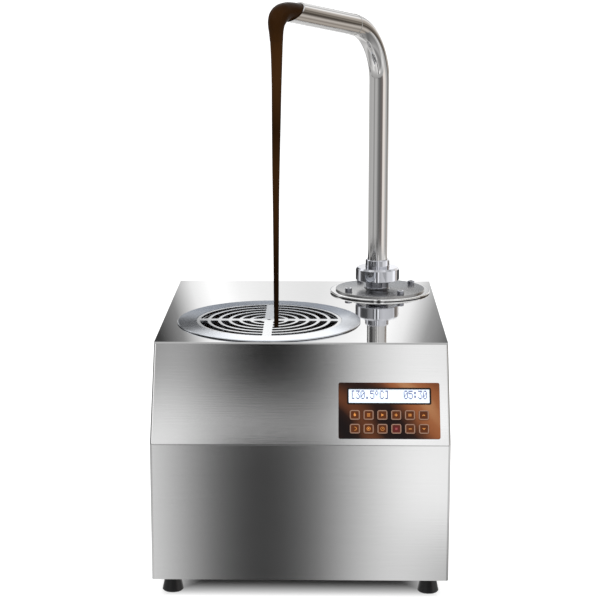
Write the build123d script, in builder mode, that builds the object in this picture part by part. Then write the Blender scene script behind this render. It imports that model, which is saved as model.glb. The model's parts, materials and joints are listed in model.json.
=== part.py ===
"""Table-top chocolate dispenser: a heated tank, an auger pump and a swivelling spout.

Frame: origin on the table under the middle of the casing, +X to the operator's right,
+Y to the back, +Z up. Millimetres and degrees.
"""
from build123d import *
import math
import os

# Casing
casing_width = 320.0
casing_depth = 400.0
lower_front_height = 152.0
upper_front_height = 97.0
front_setback = 63.0
sheet = 1.5
top_sheet = 2.0
pan_sheet = 1.5
bend_radius = 2.5
flange_width = 10.0
rear_recess = 4.0
pan_height = 18.0
panel_gap = 0.3
edge_break = 0.4
cut_past = 3.0

# Louvres in the rear panel and slots in the base pan
louvre_length = 70.0
louvre_pitch = 13.0
louvre_count = 7
louvre_height = 8.0
louvre_rise = 2.6
louvre_drop = 24.0
louvre_spread = 96.0
pan_slot_length = 46.0
pan_slot_width = 5.0
pan_slot_pitch = 16.0
pan_slot_count = 4
pan_slot_spread = 92.0

# Fasteners
screw_radius = 2.0
screw_head_radius = 4.0
screw_head_height = 2.4
screw_head_edge = 1.0
screw_length = 8.0
screw_gap = 0.1
base_screw_pitch = 86.0
rear_screw_inset = 25.0
bolt_count = 4
bolt_radius = 2.5
bolt_head_radius = 4.25
bolt_head_height = 4.6
bolt_socket = 4.0
bolt_socket_depth = 2.5
bolt_circle_radius = 46.2
bolt_start_angle = 31.0
bolt_boss_radius = 5.0
bolt_boss_height = 7.0

# Feet
foot_height = 22.0
foot_inset_x = 20.0
foot_inset_y = 28.0
pad_radius = 11.8
pad_top_radius = 8.8
pad_height = 14.0
pad_edge = 1.0
pad_socket_depth = 8.0
stud_radius = 4.0
stud_length = 38.0
locknut_flats = 13.0
locknut_height = 4.0
stud_boss_radius = 7.0
stud_boss_height = 8.0
running_gap = 0.06
socket_gap = 0.05

# Tank
tank_radius = 83.3
tank_wall = 1.5
tank_depth = 124.0
tank_corner = 56.0
rim_width = 21.5
rim_sheet = 1.2
rim_edge = 0.5
rim_gasket = 0.5
rim_side_gap = 17.2
tank_hole_gap = 1.5
ledge_width = 4.5
ledge_sheet = 1.5
heater_thickness = 2.5
heater_gap = 0.1
heater_top_gap = 16.0
heater_height = 44.0
heater_slit = 18.0
jacket_thickness = 9.0
jacket_gap = 0.3
jacket_drop = 26.0
probe_radius = 4.0
probe_length = 34.0
probe_angle = 215.0
probe_gap = 0.1
probe_hole_gap = 0.4

# Grille in the tank's mouth
grille_thickness = 3.0
grille_recess = 0.2
grille_gap = 0.3
grille_border = 3.7
slot_pitch = 12.0
slot_width = 8.5
first_slot_radius = 15.0
spoke_width = 10.0
slot_corner = 1.6
grille_hole_radius = 2.0

# Stirrer
stirrer_gap = 3.0
stirrer_arm = 12.0
stirrer_thickness = 6.0
stirrer_arm_height = 22.0
stirrer_hub_radius = 11.0
stirrer_hub_height = 26.0
stirrer_shaft_radius = 6.0
gland_radius = 15.0
gland_flange_radius = 30.0
gland_flange = 5.0
gland_height = 15.0
stirrer_gearbox_radius = 31.0
stirrer_gearbox_height = 32.0
stirrer_motor_radius = 27.0
stirrer_motor_floor_gap = 10.0
stirrer_socket_depth = 14.0

# Auger pump
pump_side_margin = 65.6
pump_rear_margin = 66.0
barrel_radius = 26.0
barrel_wall = 2.0
barrel_floor = 4.0
barrel_flange_radius = 62.0
barrel_flange = 2.0
barrel_rim_round = 1.4
barrel_gasket_sheet = 0.8
barrel_gasket_inset = 1.0
barrel_hole_gap = 1.0
transfer_radius = 14.0
transfer_wall = 2.0
transfer_height = 27.0
auger_shaft_radius = 9.0
auger_gap = 0.5
auger_pitch = 32.0
auger_blade = 3.0
auger_end_gap = 3.0
auger_head_space = 12.0
bush_radius = 13.0
bush_collar_radius = 17.0
bush_collar = 3.0
coupling_radius = 15.0
coupling_height = 22.0
coupling_gap = 1.5
drive_shaft_radius = 7.0
drive_shaft_depth = 20.0
gearbox_width = 64.0
gearbox_height = 50.0
gearbox_round = 7.0
gearbox_edge = 2.3
gearbox_boss_radius = 20.0
gearbox_boss = 3.0
bracket_height = 16.0
bracket_sheet = 3.0
bracket_width = 54.0
bracket_foot = 12.0
motor_radius = 29.0
motor_length = 104.0
motor_flange = 6.0
motor_flange_radius = 30.0
motor_cap = 22.0
motor_cap_radius = 27.0
motor_groove_count = 5
motor_groove_pitch = 13.0
motor_groove = 4.0
motor_groove_depth = 2.0

# Spout and its union
spout_offset = 3.4
cover_radius = 55.0
cover_sheet = 2.0
neck_radius = 14.2
neck_height = 11.0
neck_weld = 3.0
spigot_radius = 22.0
spigot_height = 8.5
spigot_gap = 1.0
nut_radius = 27.0
nut_lip = 2.7
nut_chamfer = 2.2
nut_edge = 0.8
nut_thread_gap = 0.1
union_gap = 0.3
spout_gasket_sheet = 1.5
ferrule_radius = 14.8
ferrule_flange_radius = 20.0
ferrule_flange = 2.0
ferrule_height = 14.7
ferrule_edge = 0.8
tube_radius = 12.3
tube_wall = 1.5
weld_gap = 0.02
spout_corner_height = 322.0
spout_bend_radius = 72.0
spout_reach = 190.0
spout_rise = 8.25
spout_plan_angle = 58.0
outlet_bevel = 45.0

# Control panel on the inclined front
panel_side_margin = 65.0
panel_rise = 38.3
panel_width = 108.4
panel_height = 62.4
panel_corner = 2.0
panel_sheet = 1.0
display_width = 87.2
display_height = 16.3
display_rise = 16.45
display_recess = 0.5
display_depth = 2.5
display_round = 0.8
module_margin = 2.0
key_columns = 6
key_rows = 2
key_size = 10.5
key_pitch_x = 14.7
key_pitch_y = 15.3
key_drop = 12.8
key_corner = 2.0
key_gap = 0.2
key_proud = 0.6
key_travel = 0.5
key_rim = 1.0
key_dish = 0.3
key_flange = 0.95
key_flange_height = 1.0
key_stem_radius = 2.0
key_stem_length = 2.2
key_switch_width = 5.6
key_switch_gap = 0.1
window_margin = 1.0
board_depth = 11.0
board_sheet = 1.6
post_radius = 2.5
post_inset = 4.0

# Mains inlet and switch
inlet_side_margin = 52.0
inlet_rise = 62.0
inlet_width = 48.0
inlet_height = 58.0
inlet_plate = 2.4
inlet_corner = 3.0
inlet_body_width = 31.0
inlet_body_height = 52.0
inlet_body_depth = 22.0
inlet_socket_width = 24.4
inlet_socket_height = 16.8
inlet_socket_depth = 17.0
inlet_socket_corner = 4.0
inlet_socket_drop = 13.0
pin_width = 2.0
pin_height = 4.0
pin_length = 14.0
pin_spread = 7.0
pin_offset = 2.0
rocker_rise = 14.0
rocker_width = 17.0
rocker_half = 9.0
rocker_crown = 3.4
rocker_valley = 1.9
rocker_body = 5.0
rocker_tip = 9.6
rocker_pin_radius = 1.5
rocker_pin_length = 1.5
rocker_inset = 3.6
rocker_pocket_depth = 14.0
rocker_gap = 0.4

# Power supply and wiring
supply_width = 70.0
supply_length = 104.0
supply_height = 38.0
supply_side_margin = 68.0
supply_front_margin = 92.0
supply_round = 2.0
supply_slot_count = 7
supply_slot_pitch = 11.0
supply_slot_width = 4.0
supply_slot_depth = 1.5
lead_radius = 3.0
lead_bend = 14.0
lead_lift = 6.0
lead_exit = 28.0
lead_slope_run = 42.0
probe_lead_exit = 17.0
board_lead_exit = 28.0
motor_lead_exit = 42.0
motor_lead_run = 70.0
probe_lead_run = 42.0

# Levels and places that follow from the sizes
z_base = foot_height
z_crease = z_base + lower_front_height
z_top = z_crease + upper_front_height
z_rim = z_top - top_sheet
x_side = casing_width / 2
y_front = -casing_depth / 2
y_rear = casing_depth / 2
slope = front_setback / upper_front_height
tilt = math.degrees(math.atan(slope))
y_brow = y_front + slope * (z_rim - z_crease)
x_inside = x_side - sheet
y_panel = y_rear - rear_recess - sheet
y_flange = y_panel - sheet
y_rear_face = y_panel + sheet
z_pan = z_base + sheet
z_floor = z_pan + pan_sheet

rim_radius = tank_radius + rim_width
tank_x = -x_side + rim_side_gap + rim_radius
tank_y = y_brow + rim_radius
tank_outer = tank_radius + tank_wall
z_rim_under = z_top + rim_gasket
z_rim_top = z_rim_under + rim_sheet
z_tank_floor = z_rim_top - tank_depth
z_tank_under = z_tank_floor - tank_wall
z_corner = z_tank_floor + tank_corner
z_grille_top = z_rim_top - grille_recess
z_ledge = z_grille_top - grille_thickness
tank_axis = Axis((tank_x, tank_y, 0), (0, 0, 1))
tank_section = Plane(origin=(tank_x, tank_y, 0), x_dir=(1, 0, 0), z_dir=(0, -1, 0))

pump_x = x_side - pump_side_margin
pump_y = y_rear - pump_rear_margin
z_gearbox = z_floor + bracket_height
z_gearbox_top = z_gearbox + gearbox_height
z_drive = z_gearbox + gearbox_height / 2
z_coupling = z_gearbox_top + gearbox_boss + coupling_gap
z_coupling_middle = z_coupling + coupling_height / 2
z_barrel = z_coupling + coupling_height + coupling_gap + bush_collar
z_barrel_floor = z_barrel + barrel_floor
z_barrel_flange = z_top + barrel_gasket_sheet
z_cover = z_barrel_flange + barrel_flange
z_cover_top = z_cover + cover_sheet
barrel_outer = barrel_radius + barrel_wall

spout_x = pump_x - spout_offset
spout_y = pump_y
z_nut = z_cover_top + neck_height
z_spigot = z_nut + spigot_gap
z_union = z_spigot + spigot_height
z_ferrule = z_union + spout_gasket_sheet
z_spout_corner = z_top + spout_corner_height
tube_bore = tube_radius - tube_wall
spout_dir = Vector(
    -math.cos(math.radians(spout_plan_angle)),
    -math.sin(math.radians(spout_plan_angle)),
    0,
)
arm_dir = spout_dir * math.cos(math.radians(spout_rise)) + Vector(0, 0, math.sin(math.radians(spout_rise)))
spout_turn = 90.0 - spout_rise
bend_tangent = spout_bend_radius * math.tan(math.radians(spout_turn / 2))
spout_corner = Vector(spout_x, spout_y, z_spout_corner)
arm_start = spout_corner + arm_dir * bend_tangent
arm_end = spout_corner + arm_dir * (spout_reach / math.cos(math.radians(spout_rise)))

panel_x = x_side - panel_side_margin
panel_normal = Vector(0, -math.cos(math.radians(tilt)), math.sin(math.radians(tilt)))
panel_up = Vector(0, math.sin(math.radians(tilt)), math.cos(math.radians(tilt)))
panel_origin = Vector(panel_x, y_front, z_crease) + panel_up * panel_rise
panel_plane = Plane(origin=panel_origin, x_dir=(1, 0, 0), z_dir=panel_normal)

inlet_x = -x_side + inlet_side_margin
z_inlet = z_base + inlet_rise
inlet_center = (-inlet_x, z_inlet)

foot_places = [
    ("front_left", -x_side + foot_inset_x, y_front + foot_inset_y),
    ("front_right", x_side - foot_inset_x, y_front + foot_inset_y),
    ("rear_left", -x_side + foot_inset_x, y_rear - foot_inset_y),
    ("rear_right", x_side - foot_inset_x, y_rear - foot_inset_y),
]
foot_points = [(x, y) for _, x, y in foot_places]
flange_screw_x = x_inside - flange_width / 2
base_screw_points = [
    (side * flange_screw_x, row_y)
    for side in (-1, 1)
    for row_y in (-base_screw_pitch, 0, base_screw_pitch)
]
rear_screw_points = [
    (side * flange_screw_x, row_z)
    for side in (-1, 1)
    for row_z in (z_base + rear_screw_inset, (z_base + z_rim) / 2, z_rim - rear_screw_inset)
]

os.makedirs("parts", exist_ok=True)


def finish(piece, name):
    """Label a finished piece and write it as its own file."""
    piece.part.label = name
    export_step(piece.part, f"parts/{name}.step")


def rear_plane(y):
    """Plane facing the back at depth y: local x runs to -X, local y runs up."""
    return Plane(origin=(0, y, 0), x_dir=(-1, 0, 0), z_dir=(0, 1, 0))


# Body shell: front, both sides and their inward flanges folded from one sheet
with BuildPart() as body_shell:
    with BuildSketch(Plane.YZ.offset(-x_side)):
        with BuildLine():
            Polyline(
                (y_front, z_base),
                (y_front, z_crease),
                (y_brow, z_rim),
                (y_rear, z_rim),
                (y_rear, z_base),
                close=True,
            )
        make_face()
    extrude(amount=casing_width)
    crease = body_shell.edges().filter_by(Axis.X).group_by(Axis.Y)[0].sort_by(Axis.Z)[-1]
    corners = [
        edge
        for edge in body_shell.edges().filter_by(Axis.X, reverse=True)
        if edge.center().Y < y_brow and abs(edge.tangent_at(0.5).Z) > 0.5
    ]
    fillet([crease, *corners], bend_radius)
    shell_openings = [
        body_shell.faces().sort_by(Axis.Z)[-1],
        body_shell.faces().sort_by(Axis.Z)[0],
        body_shell.faces().sort_by(Axis.Y)[-1],
    ]
    offset(amount=-sheet, openings=shell_openings)
    # Top flange, which carries the top plate
    with BuildSketch(Plane.XY.offset(z_rim - sheet)):
        with Locations((0, y_brow + edge_break)):
            Rectangle(2 * x_inside, y_flange - y_brow - edge_break, align=(Align.CENTER, Align.MIN))
        with Locations((0, y_brow + flange_width)):
            Rectangle(
                2 * (x_inside - flange_width),
                casing_depth,
                align=(Align.CENTER, Align.MIN),
                mode=Mode.SUBTRACT,
            )
    extrude(amount=sheet)
    # Bottom flange, which carries the base pan
    with BuildSketch(Plane.XY.offset(z_base)):
        with Locations((0, y_front + sheet)):
            Rectangle(2 * x_inside, y_flange - y_front - sheet, align=(Align.CENTER, Align.MIN))
        with Locations((0, y_front + sheet + flange_width)):
            Rectangle(
                2 * (x_inside - flange_width),
                casing_depth,
                align=(Align.CENTER, Align.MIN),
                mode=Mode.SUBTRACT,
            )
        with Locations(*base_screw_points):
            Circle(screw_radius + screw_gap, mode=Mode.SUBTRACT)
    extrude(amount=sheet)
    # Rear return flanges, which carry the rear panel
    with BuildSketch(rear_plane(y_flange)):
        for side in (-1, 1):
            with Locations((side * flange_screw_x, (z_base + z_rim) / 2)):
                Rectangle(flange_width, z_rim - z_base)
        with Locations(*rear_screw_points):
            Circle(screw_radius + screw_gap, mode=Mode.SUBTRACT)
    extrude(amount=sheet)
    # Windows behind the control panel, for the keys and the display
    with BuildSketch(panel_plane):
        with Locations((0, -key_drop)):
            Rectangle(
                (key_columns - 1) * key_pitch_x + key_size + 2 * (key_flange + window_margin),
                (key_rows - 1) * key_pitch_y + key_size + 2 * (key_flange + window_margin),
            )
        with Locations((0, display_rise)):
            Rectangle(display_width + window_margin, display_height + window_margin)
    extrude(amount=sheet + cut_past, both=True, mode=Mode.SUBTRACT)
finish(body_shell, "body_shell")

# Top plate, with tapped bosses under it for the pump's cover screws
with BuildPart() as top_plate:
    with BuildSketch(Plane.XY.offset(z_rim)):
        with Locations((0, y_brow)):
            Rectangle(casing_width, y_rear - y_brow, align=(Align.CENTER, Align.MIN))
    extrude(amount=top_sheet)
    chamfer(top_plate.faces().sort_by(Axis.Z)[-1].edges(), edge_break)
    with BuildSketch(Plane.XY.offset(z_rim)):
        with Locations((pump_x, pump_y)):
            with PolarLocations(bolt_circle_radius, bolt_count, start_angle=bolt_start_angle):
                Circle(bolt_boss_radius)
    extrude(amount=-bolt_boss_height)
    with BuildSketch(Plane.XY.offset(z_rim)):
        with Locations((tank_x, tank_y)):
            Circle(tank_outer + tank_hole_gap)
        with Locations((pump_x, pump_y)):
            Circle(barrel_outer + barrel_hole_gap)
            with PolarLocations(bolt_circle_radius, bolt_count, start_angle=bolt_start_angle):
                Circle(bolt_radius + screw_gap)
    extrude(amount=bolt_boss_height + cut_past, both=True, mode=Mode.SUBTRACT)
finish(top_plate, "top_plate")

# Rear panel with pressed louvres and the inlet's cut-out
with BuildPart() as rear_panel:
    with BuildSketch(rear_plane(y_panel)):
        with Locations((0, (z_base + z_rim) / 2)):
            Rectangle(2 * (x_inside - panel_gap), z_rim - z_base - 2 * panel_gap)
        with Locations(inlet_center):
            Rectangle(
                inlet_body_width + 2 * panel_gap,
                inlet_body_height + 2 * panel_gap,
                mode=Mode.SUBTRACT,
            )
        with Locations(*rear_screw_points):
            Circle(screw_radius + screw_gap, mode=Mode.SUBTRACT)
    extrude(amount=sheet)
    hood_tops = [z_rim - louvre_drop - row * louvre_pitch for row in range(louvre_count)]
    for louvre_x in (-louvre_spread / 2, louvre_spread / 2):
        with BuildSketch(Plane.YZ.offset(louvre_x)):
            for hood_top in hood_tops:
                with BuildLine():
                    Polyline(
                        (y_panel, hood_top),
                        (y_rear_face, hood_top),
                        (y_rear_face + louvre_rise, hood_top - louvre_height),
                        (y_panel, hood_top - louvre_height),
                        close=True,
                    )
                make_face()
        extrude(amount=louvre_length / 2, both=True)
        with BuildSketch(Plane.YZ.offset(louvre_x)):
            for hood_top in hood_tops:
                with BuildLine():
                    Polyline(
                        (y_panel, hood_top - sheet),
                        (y_rear_face + louvre_rise - sheet, hood_top - louvre_height),
                        (y_panel, hood_top - louvre_height),
                        close=True,
                    )
                make_face()
        extrude(amount=louvre_length / 2 - sheet, both=True, mode=Mode.SUBTRACT)
finish(rear_panel, "rear_panel")

# Base pan: a tray on the shell's bottom flange, with bosses for the feet and air slots
with BuildPart() as base_pan:
    pan_front = y_front + sheet + panel_gap
    pan_rear = y_flange - panel_gap
    with BuildSketch(Plane.XY.offset(z_pan)):
        with Locations((0, (pan_front + pan_rear) / 2)):
            Rectangle(2 * (x_inside - panel_gap), pan_rear - pan_front)
    extrude(amount=pan_height)
    fillet(base_pan.edges().filter_by(Axis.Z), bend_radius)
    offset(amount=-pan_sheet, openings=base_pan.faces().sort_by(Axis.Z)[-1])
    with BuildSketch(Plane.XY.offset(z_floor)):
        with Locations(*foot_points):
            Circle(stud_boss_radius)
    extrude(amount=stud_boss_height)
    with BuildSketch(Plane.XY.offset(z_pan)):
        with Locations(*foot_points):
            Circle(stud_radius + running_gap)
        with Locations(*base_screw_points):
            Circle(screw_radius + screw_gap)
        with GridLocations(pan_slot_spread, pan_slot_pitch, 2, pan_slot_count):
            SlotOverall(pan_slot_length, pan_slot_width)
    extrude(amount=pan_sheet + stud_boss_height, mode=Mode.SUBTRACT)
finish(base_pan, "base_pan")

# Casing screws: pan heads under the base pan and on the rear panel
with BuildPart() as casing_screws:
    with BuildSketch(Plane.XY.offset(z_base - screw_head_height)):
        with Locations(*base_screw_points):
            Circle(screw_head_radius)
    extrude(amount=screw_head_height)
    with BuildSketch(rear_plane(y_rear_face)):
        with Locations(*rear_screw_points):
            Circle(screw_head_radius)
    extrude(amount=screw_head_height)
    head_rims = [
        *casing_screws.edges().filter_by(GeomType.CIRCLE).group_by(Axis.Z)[0],
        *casing_screws.edges().filter_by(GeomType.CIRCLE).group_by(Axis.Y)[-1],
    ]
    chamfer(head_rims, screw_head_edge)
    with BuildSketch(Plane.XY.offset(z_base)):
        with Locations(*base_screw_points):
            Circle(screw_radius)
    extrude(amount=screw_length)
    with BuildSketch(rear_plane(y_rear_face)):
        with Locations(*rear_screw_points):
            Circle(screw_radius)
    extrude(amount=-screw_length)
finish(casing_screws, "casing_screws")

# Feet: rubber pads on threaded studs
for foot_name, foot_x, foot_y in foot_places:
    foot_section = Plane(origin=(foot_x, foot_y, 0), x_dir=(1, 0, 0), z_dir=(0, -1, 0))
    foot_axis = Axis((foot_x, foot_y, 0), (0, 0, 1))
    stud_bottom = pad_height - pad_socket_depth
    with BuildPart() as foot_pad:
        with BuildSketch(foot_section):
            with BuildLine():
                Polyline(
                    (0, 0),
                    (pad_radius, 0),
                    (pad_top_radius, pad_height),
                    (stud_radius + socket_gap, pad_height),
                    (stud_radius + socket_gap, stud_bottom),
                    (0, stud_bottom),
                    close=True,
                )
            make_face()
        revolve(axis=foot_axis)
        chamfer(foot_pad.edges().group_by(Axis.Z)[0], pad_edge)
    finish(foot_pad, f"foot_pad_{foot_name}")

    with BuildPart() as foot_stud:
        with BuildSketch(Plane.XY.offset(stud_bottom)):
            with Locations((foot_x, foot_y)):
                Circle(stud_radius)
        extrude(amount=stud_length)
        chamfer(foot_stud.edges().group_by(Axis.Z)[-1], edge_break)
    finish(foot_stud, f"foot_stud_{foot_name}")

# Lock nuts between the feet and the pan
with BuildPart() as foot_locknuts:
    with BuildSketch(Plane.XY.offset(z_pan - locknut_height)):
        with Locations(*foot_points):
            RegularPolygon(locknut_flats / 2, 6, major_radius=False)
            Circle(stud_radius + running_gap, mode=Mode.SUBTRACT)
    extrude(amount=locknut_height)
finish(foot_locknuts, "foot_locknuts")

# Transfer line from the tank's lower wall to the pump barrel
line_vector = Vector(pump_x - tank_x, pump_y - tank_y, 0)
z_transfer = z_tank_floor + transfer_height
line_plane = Plane(origin=(tank_x, tank_y, z_transfer), x_dir=(0, 0, 1), z_dir=line_vector)
corner_x = tank_radius - tank_corner


def bowl_outline(grow):
    """Half outline of the tank's inside, grown outwards, below the rim: a wall, a big corner, a floor."""
    bow = (tank_corner + grow) * math.sqrt(0.5)
    Line((tank_radius + grow, z_rim_under), (tank_radius + grow, z_corner))
    ThreePointArc(
        (tank_radius + grow, z_corner),
        (corner_x + bow, z_corner - bow),
        (corner_x, z_tank_floor - grow),
    )
    Line((corner_x, z_tank_floor - grow), (0, z_tank_floor - grow))


# Outside of the bowl as one solid, to trim what is welded to it
with BuildPart() as bowl_outside:
    with BuildSketch(tank_section):
        with BuildLine():
            bowl_outline(tank_wall)
            Polyline((0, z_tank_under), (0, z_rim_under), (tank_outer, z_rim_under))
        make_face()
    revolve(axis=tank_axis)

# Tank: bowl, wide rim on the top plate, and the ledge that carries the grille
with BuildPart() as tank:
    add(bowl_outside.part)
    with BuildSketch(Plane.XY.offset(z_rim_under)):
        with Locations((tank_x, tank_y)):
            Circle(rim_radius)
    extrude(amount=rim_sheet)
    chamfer(tank.edges().group_by(Axis.Z)[-1], rim_edge)
    with BuildSketch(tank_section):
        with BuildLine():
            bowl_outline(0)
            Polyline((0, z_tank_floor), (0, z_rim_top), (tank_radius, z_rim_top), (tank_radius, z_rim_under))
        make_face()
    revolve(axis=tank_axis, mode=Mode.SUBTRACT)
    with BuildSketch(Plane.XY.offset(z_ledge)):
        with Locations((tank_x, tank_y)):
            Circle(tank_radius)
            Circle(tank_radius - ledge_width, mode=Mode.SUBTRACT)
    extrude(amount=-ledge_sheet)
    with BuildSketch(Plane.XY.offset(z_tank_under)):
        with Locations((tank_x, tank_y)):
            Circle(gland_radius + socket_gap)
    extrude(amount=tank_wall, mode=Mode.SUBTRACT)
    with BuildSketch(line_plane):
        Circle(transfer_radius)
    extrude(amount=rim_radius, mode=Mode.SUBTRACT)
finish(tank, "tank")

with BuildPart() as tank_gasket:
    with BuildSketch(Plane.XY.offset(z_top)):
        with Locations((tank_x, tank_y)):
            Circle(rim_radius - rim_sheet)
            Circle(tank_outer + tank_hole_gap, mode=Mode.SUBTRACT)
    extrude(amount=rim_gasket)
finish(tank_gasket, "tank_gasket")

# Grille: rings of slots between four spokes, in the tank's mouth
grille_radius = tank_radius - grille_gap
slot_room = grille_radius - grille_border - slot_width / 2 - first_slot_radius
slot_rings = 1 + math.floor(slot_room / slot_pitch)
with BuildPart() as grille:
    with BuildSketch(Plane.XY.offset(z_ledge)):
        with Locations((tank_x, tank_y)):
            Circle(grille_radius)
            Circle(grille_hole_radius, mode=Mode.SUBTRACT)
    extrude(amount=grille_thickness)
    with BuildSketch(Plane(origin=(tank_x, tank_y, z_grille_top))):
        for ring in range(slot_rings):
            ring_radius = first_slot_radius + ring * slot_pitch
            with BuildSketch(mode=Mode.PRIVATE) as slot_ring:
                Circle(ring_radius + slot_width / 2)
                Circle(ring_radius - slot_width / 2, mode=Mode.SUBTRACT)
                for spoke_turn in (0, 90):
                    Rectangle(2 * tank_radius, spoke_width, rotation=spoke_turn, mode=Mode.SUBTRACT)
                fillet(slot_ring.vertices(), slot_corner)
            add(slot_ring.sketch)
    extrude(amount=-grille_thickness, mode=Mode.SUBTRACT)
finish(grille, "grille")

# Heater mat round the tank's wall, open at a slit
heater_inner = tank_outer + heater_gap
heater_outer = heater_inner + heater_thickness
z_heater = z_rim_under - heater_top_gap - heater_height
with BuildPart() as heater_mat:
    with BuildSketch(Plane(origin=(tank_x, tank_y, z_heater))):
        Circle(heater_outer)
        Circle(heater_inner, mode=Mode.SUBTRACT)
        with PolarLocations(heater_inner, 1, start_angle=probe_angle):
            Rectangle(heater_slit, heater_slit, mode=Mode.SUBTRACT)
    extrude(amount=heater_height)
finish(heater_mat, "heater_mat")

# Insulation jacket, notched for the transfer line and the probe
probe_turn = math.radians(probe_angle)
probe_dir = Vector(math.cos(probe_turn), math.sin(probe_turn), 0)
z_probe = z_heater - 2 * probe_radius
probe_plane = Plane(
    origin=Vector(tank_x, tank_y, z_probe) + probe_dir * (tank_outer + probe_gap),
    x_dir=(0, 0, 1),
    z_dir=probe_dir,
)
jacket_inner = heater_outer + jacket_gap
with BuildPart() as tank_insulation:
    with BuildSketch(Plane.XY.offset(z_tank_floor)):
        with Locations((tank_x, tank_y)):
            Circle(jacket_inner + jacket_thickness)
            Circle(jacket_inner, mode=Mode.SUBTRACT)
    extrude(amount=z_rim_under - jacket_drop - z_tank_floor)
    with BuildSketch(line_plane):
        Circle(transfer_radius + transfer_wall + jacket_gap)
    extrude(amount=2 * rim_radius, mode=Mode.SUBTRACT)
    with BuildSketch(probe_plane):
        Circle(probe_radius + probe_hole_gap)
    extrude(amount=probe_length, mode=Mode.SUBTRACT)
finish(tank_insulation, "tank_insulation")

with BuildPart() as temperature_probe:
    with BuildSketch(probe_plane):
        Circle(probe_radius)
    extrude(amount=probe_length)
finish(temperature_probe, "temperature_probe")

# Gland under the tank: seals the stirrer's shaft and carries its gearmotor
z_gland = z_tank_under - gland_height
with BuildPart() as stirrer_gland:
    with BuildSketch(Plane.XY.offset(z_gland)):
        with Locations((tank_x, tank_y)):
            Circle(gland_flange_radius)
    extrude(amount=gland_flange)
    with BuildSketch(Plane.XY.offset(z_gland)):
        with Locations((tank_x, tank_y)):
            Circle(gland_radius)
    extrude(amount=gland_height + tank_wall)
    with BuildSketch(Plane.XY.offset(z_tank_under)):
        with Locations((tank_x, tank_y)):
            Circle(gland_flange_radius - gland_flange)
    extrude(amount=-gland_flange)
    with BuildSketch(Plane.XY.offset(z_gland)):
        with Locations((tank_x, tank_y)):
            Circle(stirrer_shaft_radius + running_gap)
    extrude(amount=gland_height + tank_wall, mode=Mode.SUBTRACT)
finish(stirrer_gland, "stirrer_gland")

# Anchor stirrer, whose arms follow the bowl
z_stirrer = z_tank_floor + stirrer_gap
z_socket = z_gland - stirrer_socket_depth
arm_outer = tank_corner - stirrer_gap
arm_inner = arm_outer - stirrer_arm
with BuildPart() as stirrer:
    with BuildSketch(Plane.XY.offset(z_stirrer)):
        with Locations((tank_x, tank_y)):
            Circle(stirrer_hub_radius)
    extrude(amount=stirrer_hub_height)
    fillet(stirrer.edges().group_by(Axis.Z)[-1], stirrer_hub_radius / 2)
    with BuildSketch(tank_section):
        with BuildLine():
            outer_bow = arm_outer * math.sqrt(0.5)
            inner_bow = arm_inner * math.sqrt(0.5)
            arm_top = z_corner + stirrer_arm_height
            Line((0, z_stirrer), (corner_x, z_stirrer))
            ThreePointArc(
                (corner_x, z_stirrer),
                (corner_x + outer_bow, z_corner - outer_bow),
                (corner_x + arm_outer, z_corner),
            )
            Polyline(
                (corner_x + arm_outer, z_corner),
                (corner_x + arm_outer, arm_top),
                (corner_x + arm_inner, arm_top),
                (corner_x + arm_inner, z_corner),
            )
            ThreePointArc(
                (corner_x + arm_inner, z_corner),
                (corner_x + inner_bow, z_corner - inner_bow),
                (corner_x, z_stirrer + stirrer_arm),
            )
            Polyline((corner_x, z_stirrer + stirrer_arm), (0, z_stirrer + stirrer_arm), (0, z_stirrer))
        make_face()
        mirror(about=Plane.YZ)
    extrude(amount=stirrer_thickness / 2, both=True)
    with BuildSketch(Plane.XY.offset(z_socket + running_gap)):
        with Locations((tank_x, tank_y)):
            Circle(stirrer_shaft_radius)
    extrude(amount=z_stirrer - z_socket)
finish(stirrer, "stirrer")

# Stirrer gearmotor, hung under the gland
z_stirrer_gearbox = z_gland - stirrer_gearbox_height
with BuildPart() as stirrer_motor:
    with BuildSketch(Plane.XY.offset(z_stirrer_gearbox)):
        with Locations((tank_x, tank_y)):
            Circle(stirrer_gearbox_radius)
    extrude(amount=stirrer_gearbox_height)
    with BuildSketch(Plane.XY.offset(z_stirrer_gearbox)):
        with Locations((tank_x, tank_y)):
            Circle(stirrer_motor_radius)
    extrude(amount=z_floor + stirrer_motor_floor_gap - z_stirrer_gearbox)
    fillet(stirrer_motor.edges().group_by(Axis.Z)[0], bend_radius)
    with BuildSketch(Plane.XY.offset(z_gland)):
        with Locations((tank_x, tank_y)):
            Circle(stirrer_shaft_radius + running_gap)
    extrude(amount=-stirrer_socket_depth, mode=Mode.SUBTRACT)
finish(stirrer_motor, "stirrer_motor")

# Transfer pipe, trimmed to the bowl and to the barrel
with BuildPart() as transfer_pipe:
    with BuildSketch(line_plane):
        Circle(transfer_radius + transfer_wall)
        Circle(transfer_radius, mode=Mode.SUBTRACT)
    extrude(amount=line_vector.length)
    add(bowl_outside.part, mode=Mode.SUBTRACT)
    with BuildSketch(Plane.XY.offset(z_barrel)):
        with Locations((pump_x, pump_y)):
            Circle(barrel_outer)
    extrude(amount=z_top - z_barrel, mode=Mode.SUBTRACT)
finish(transfer_pipe, "transfer_pipe")

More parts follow.
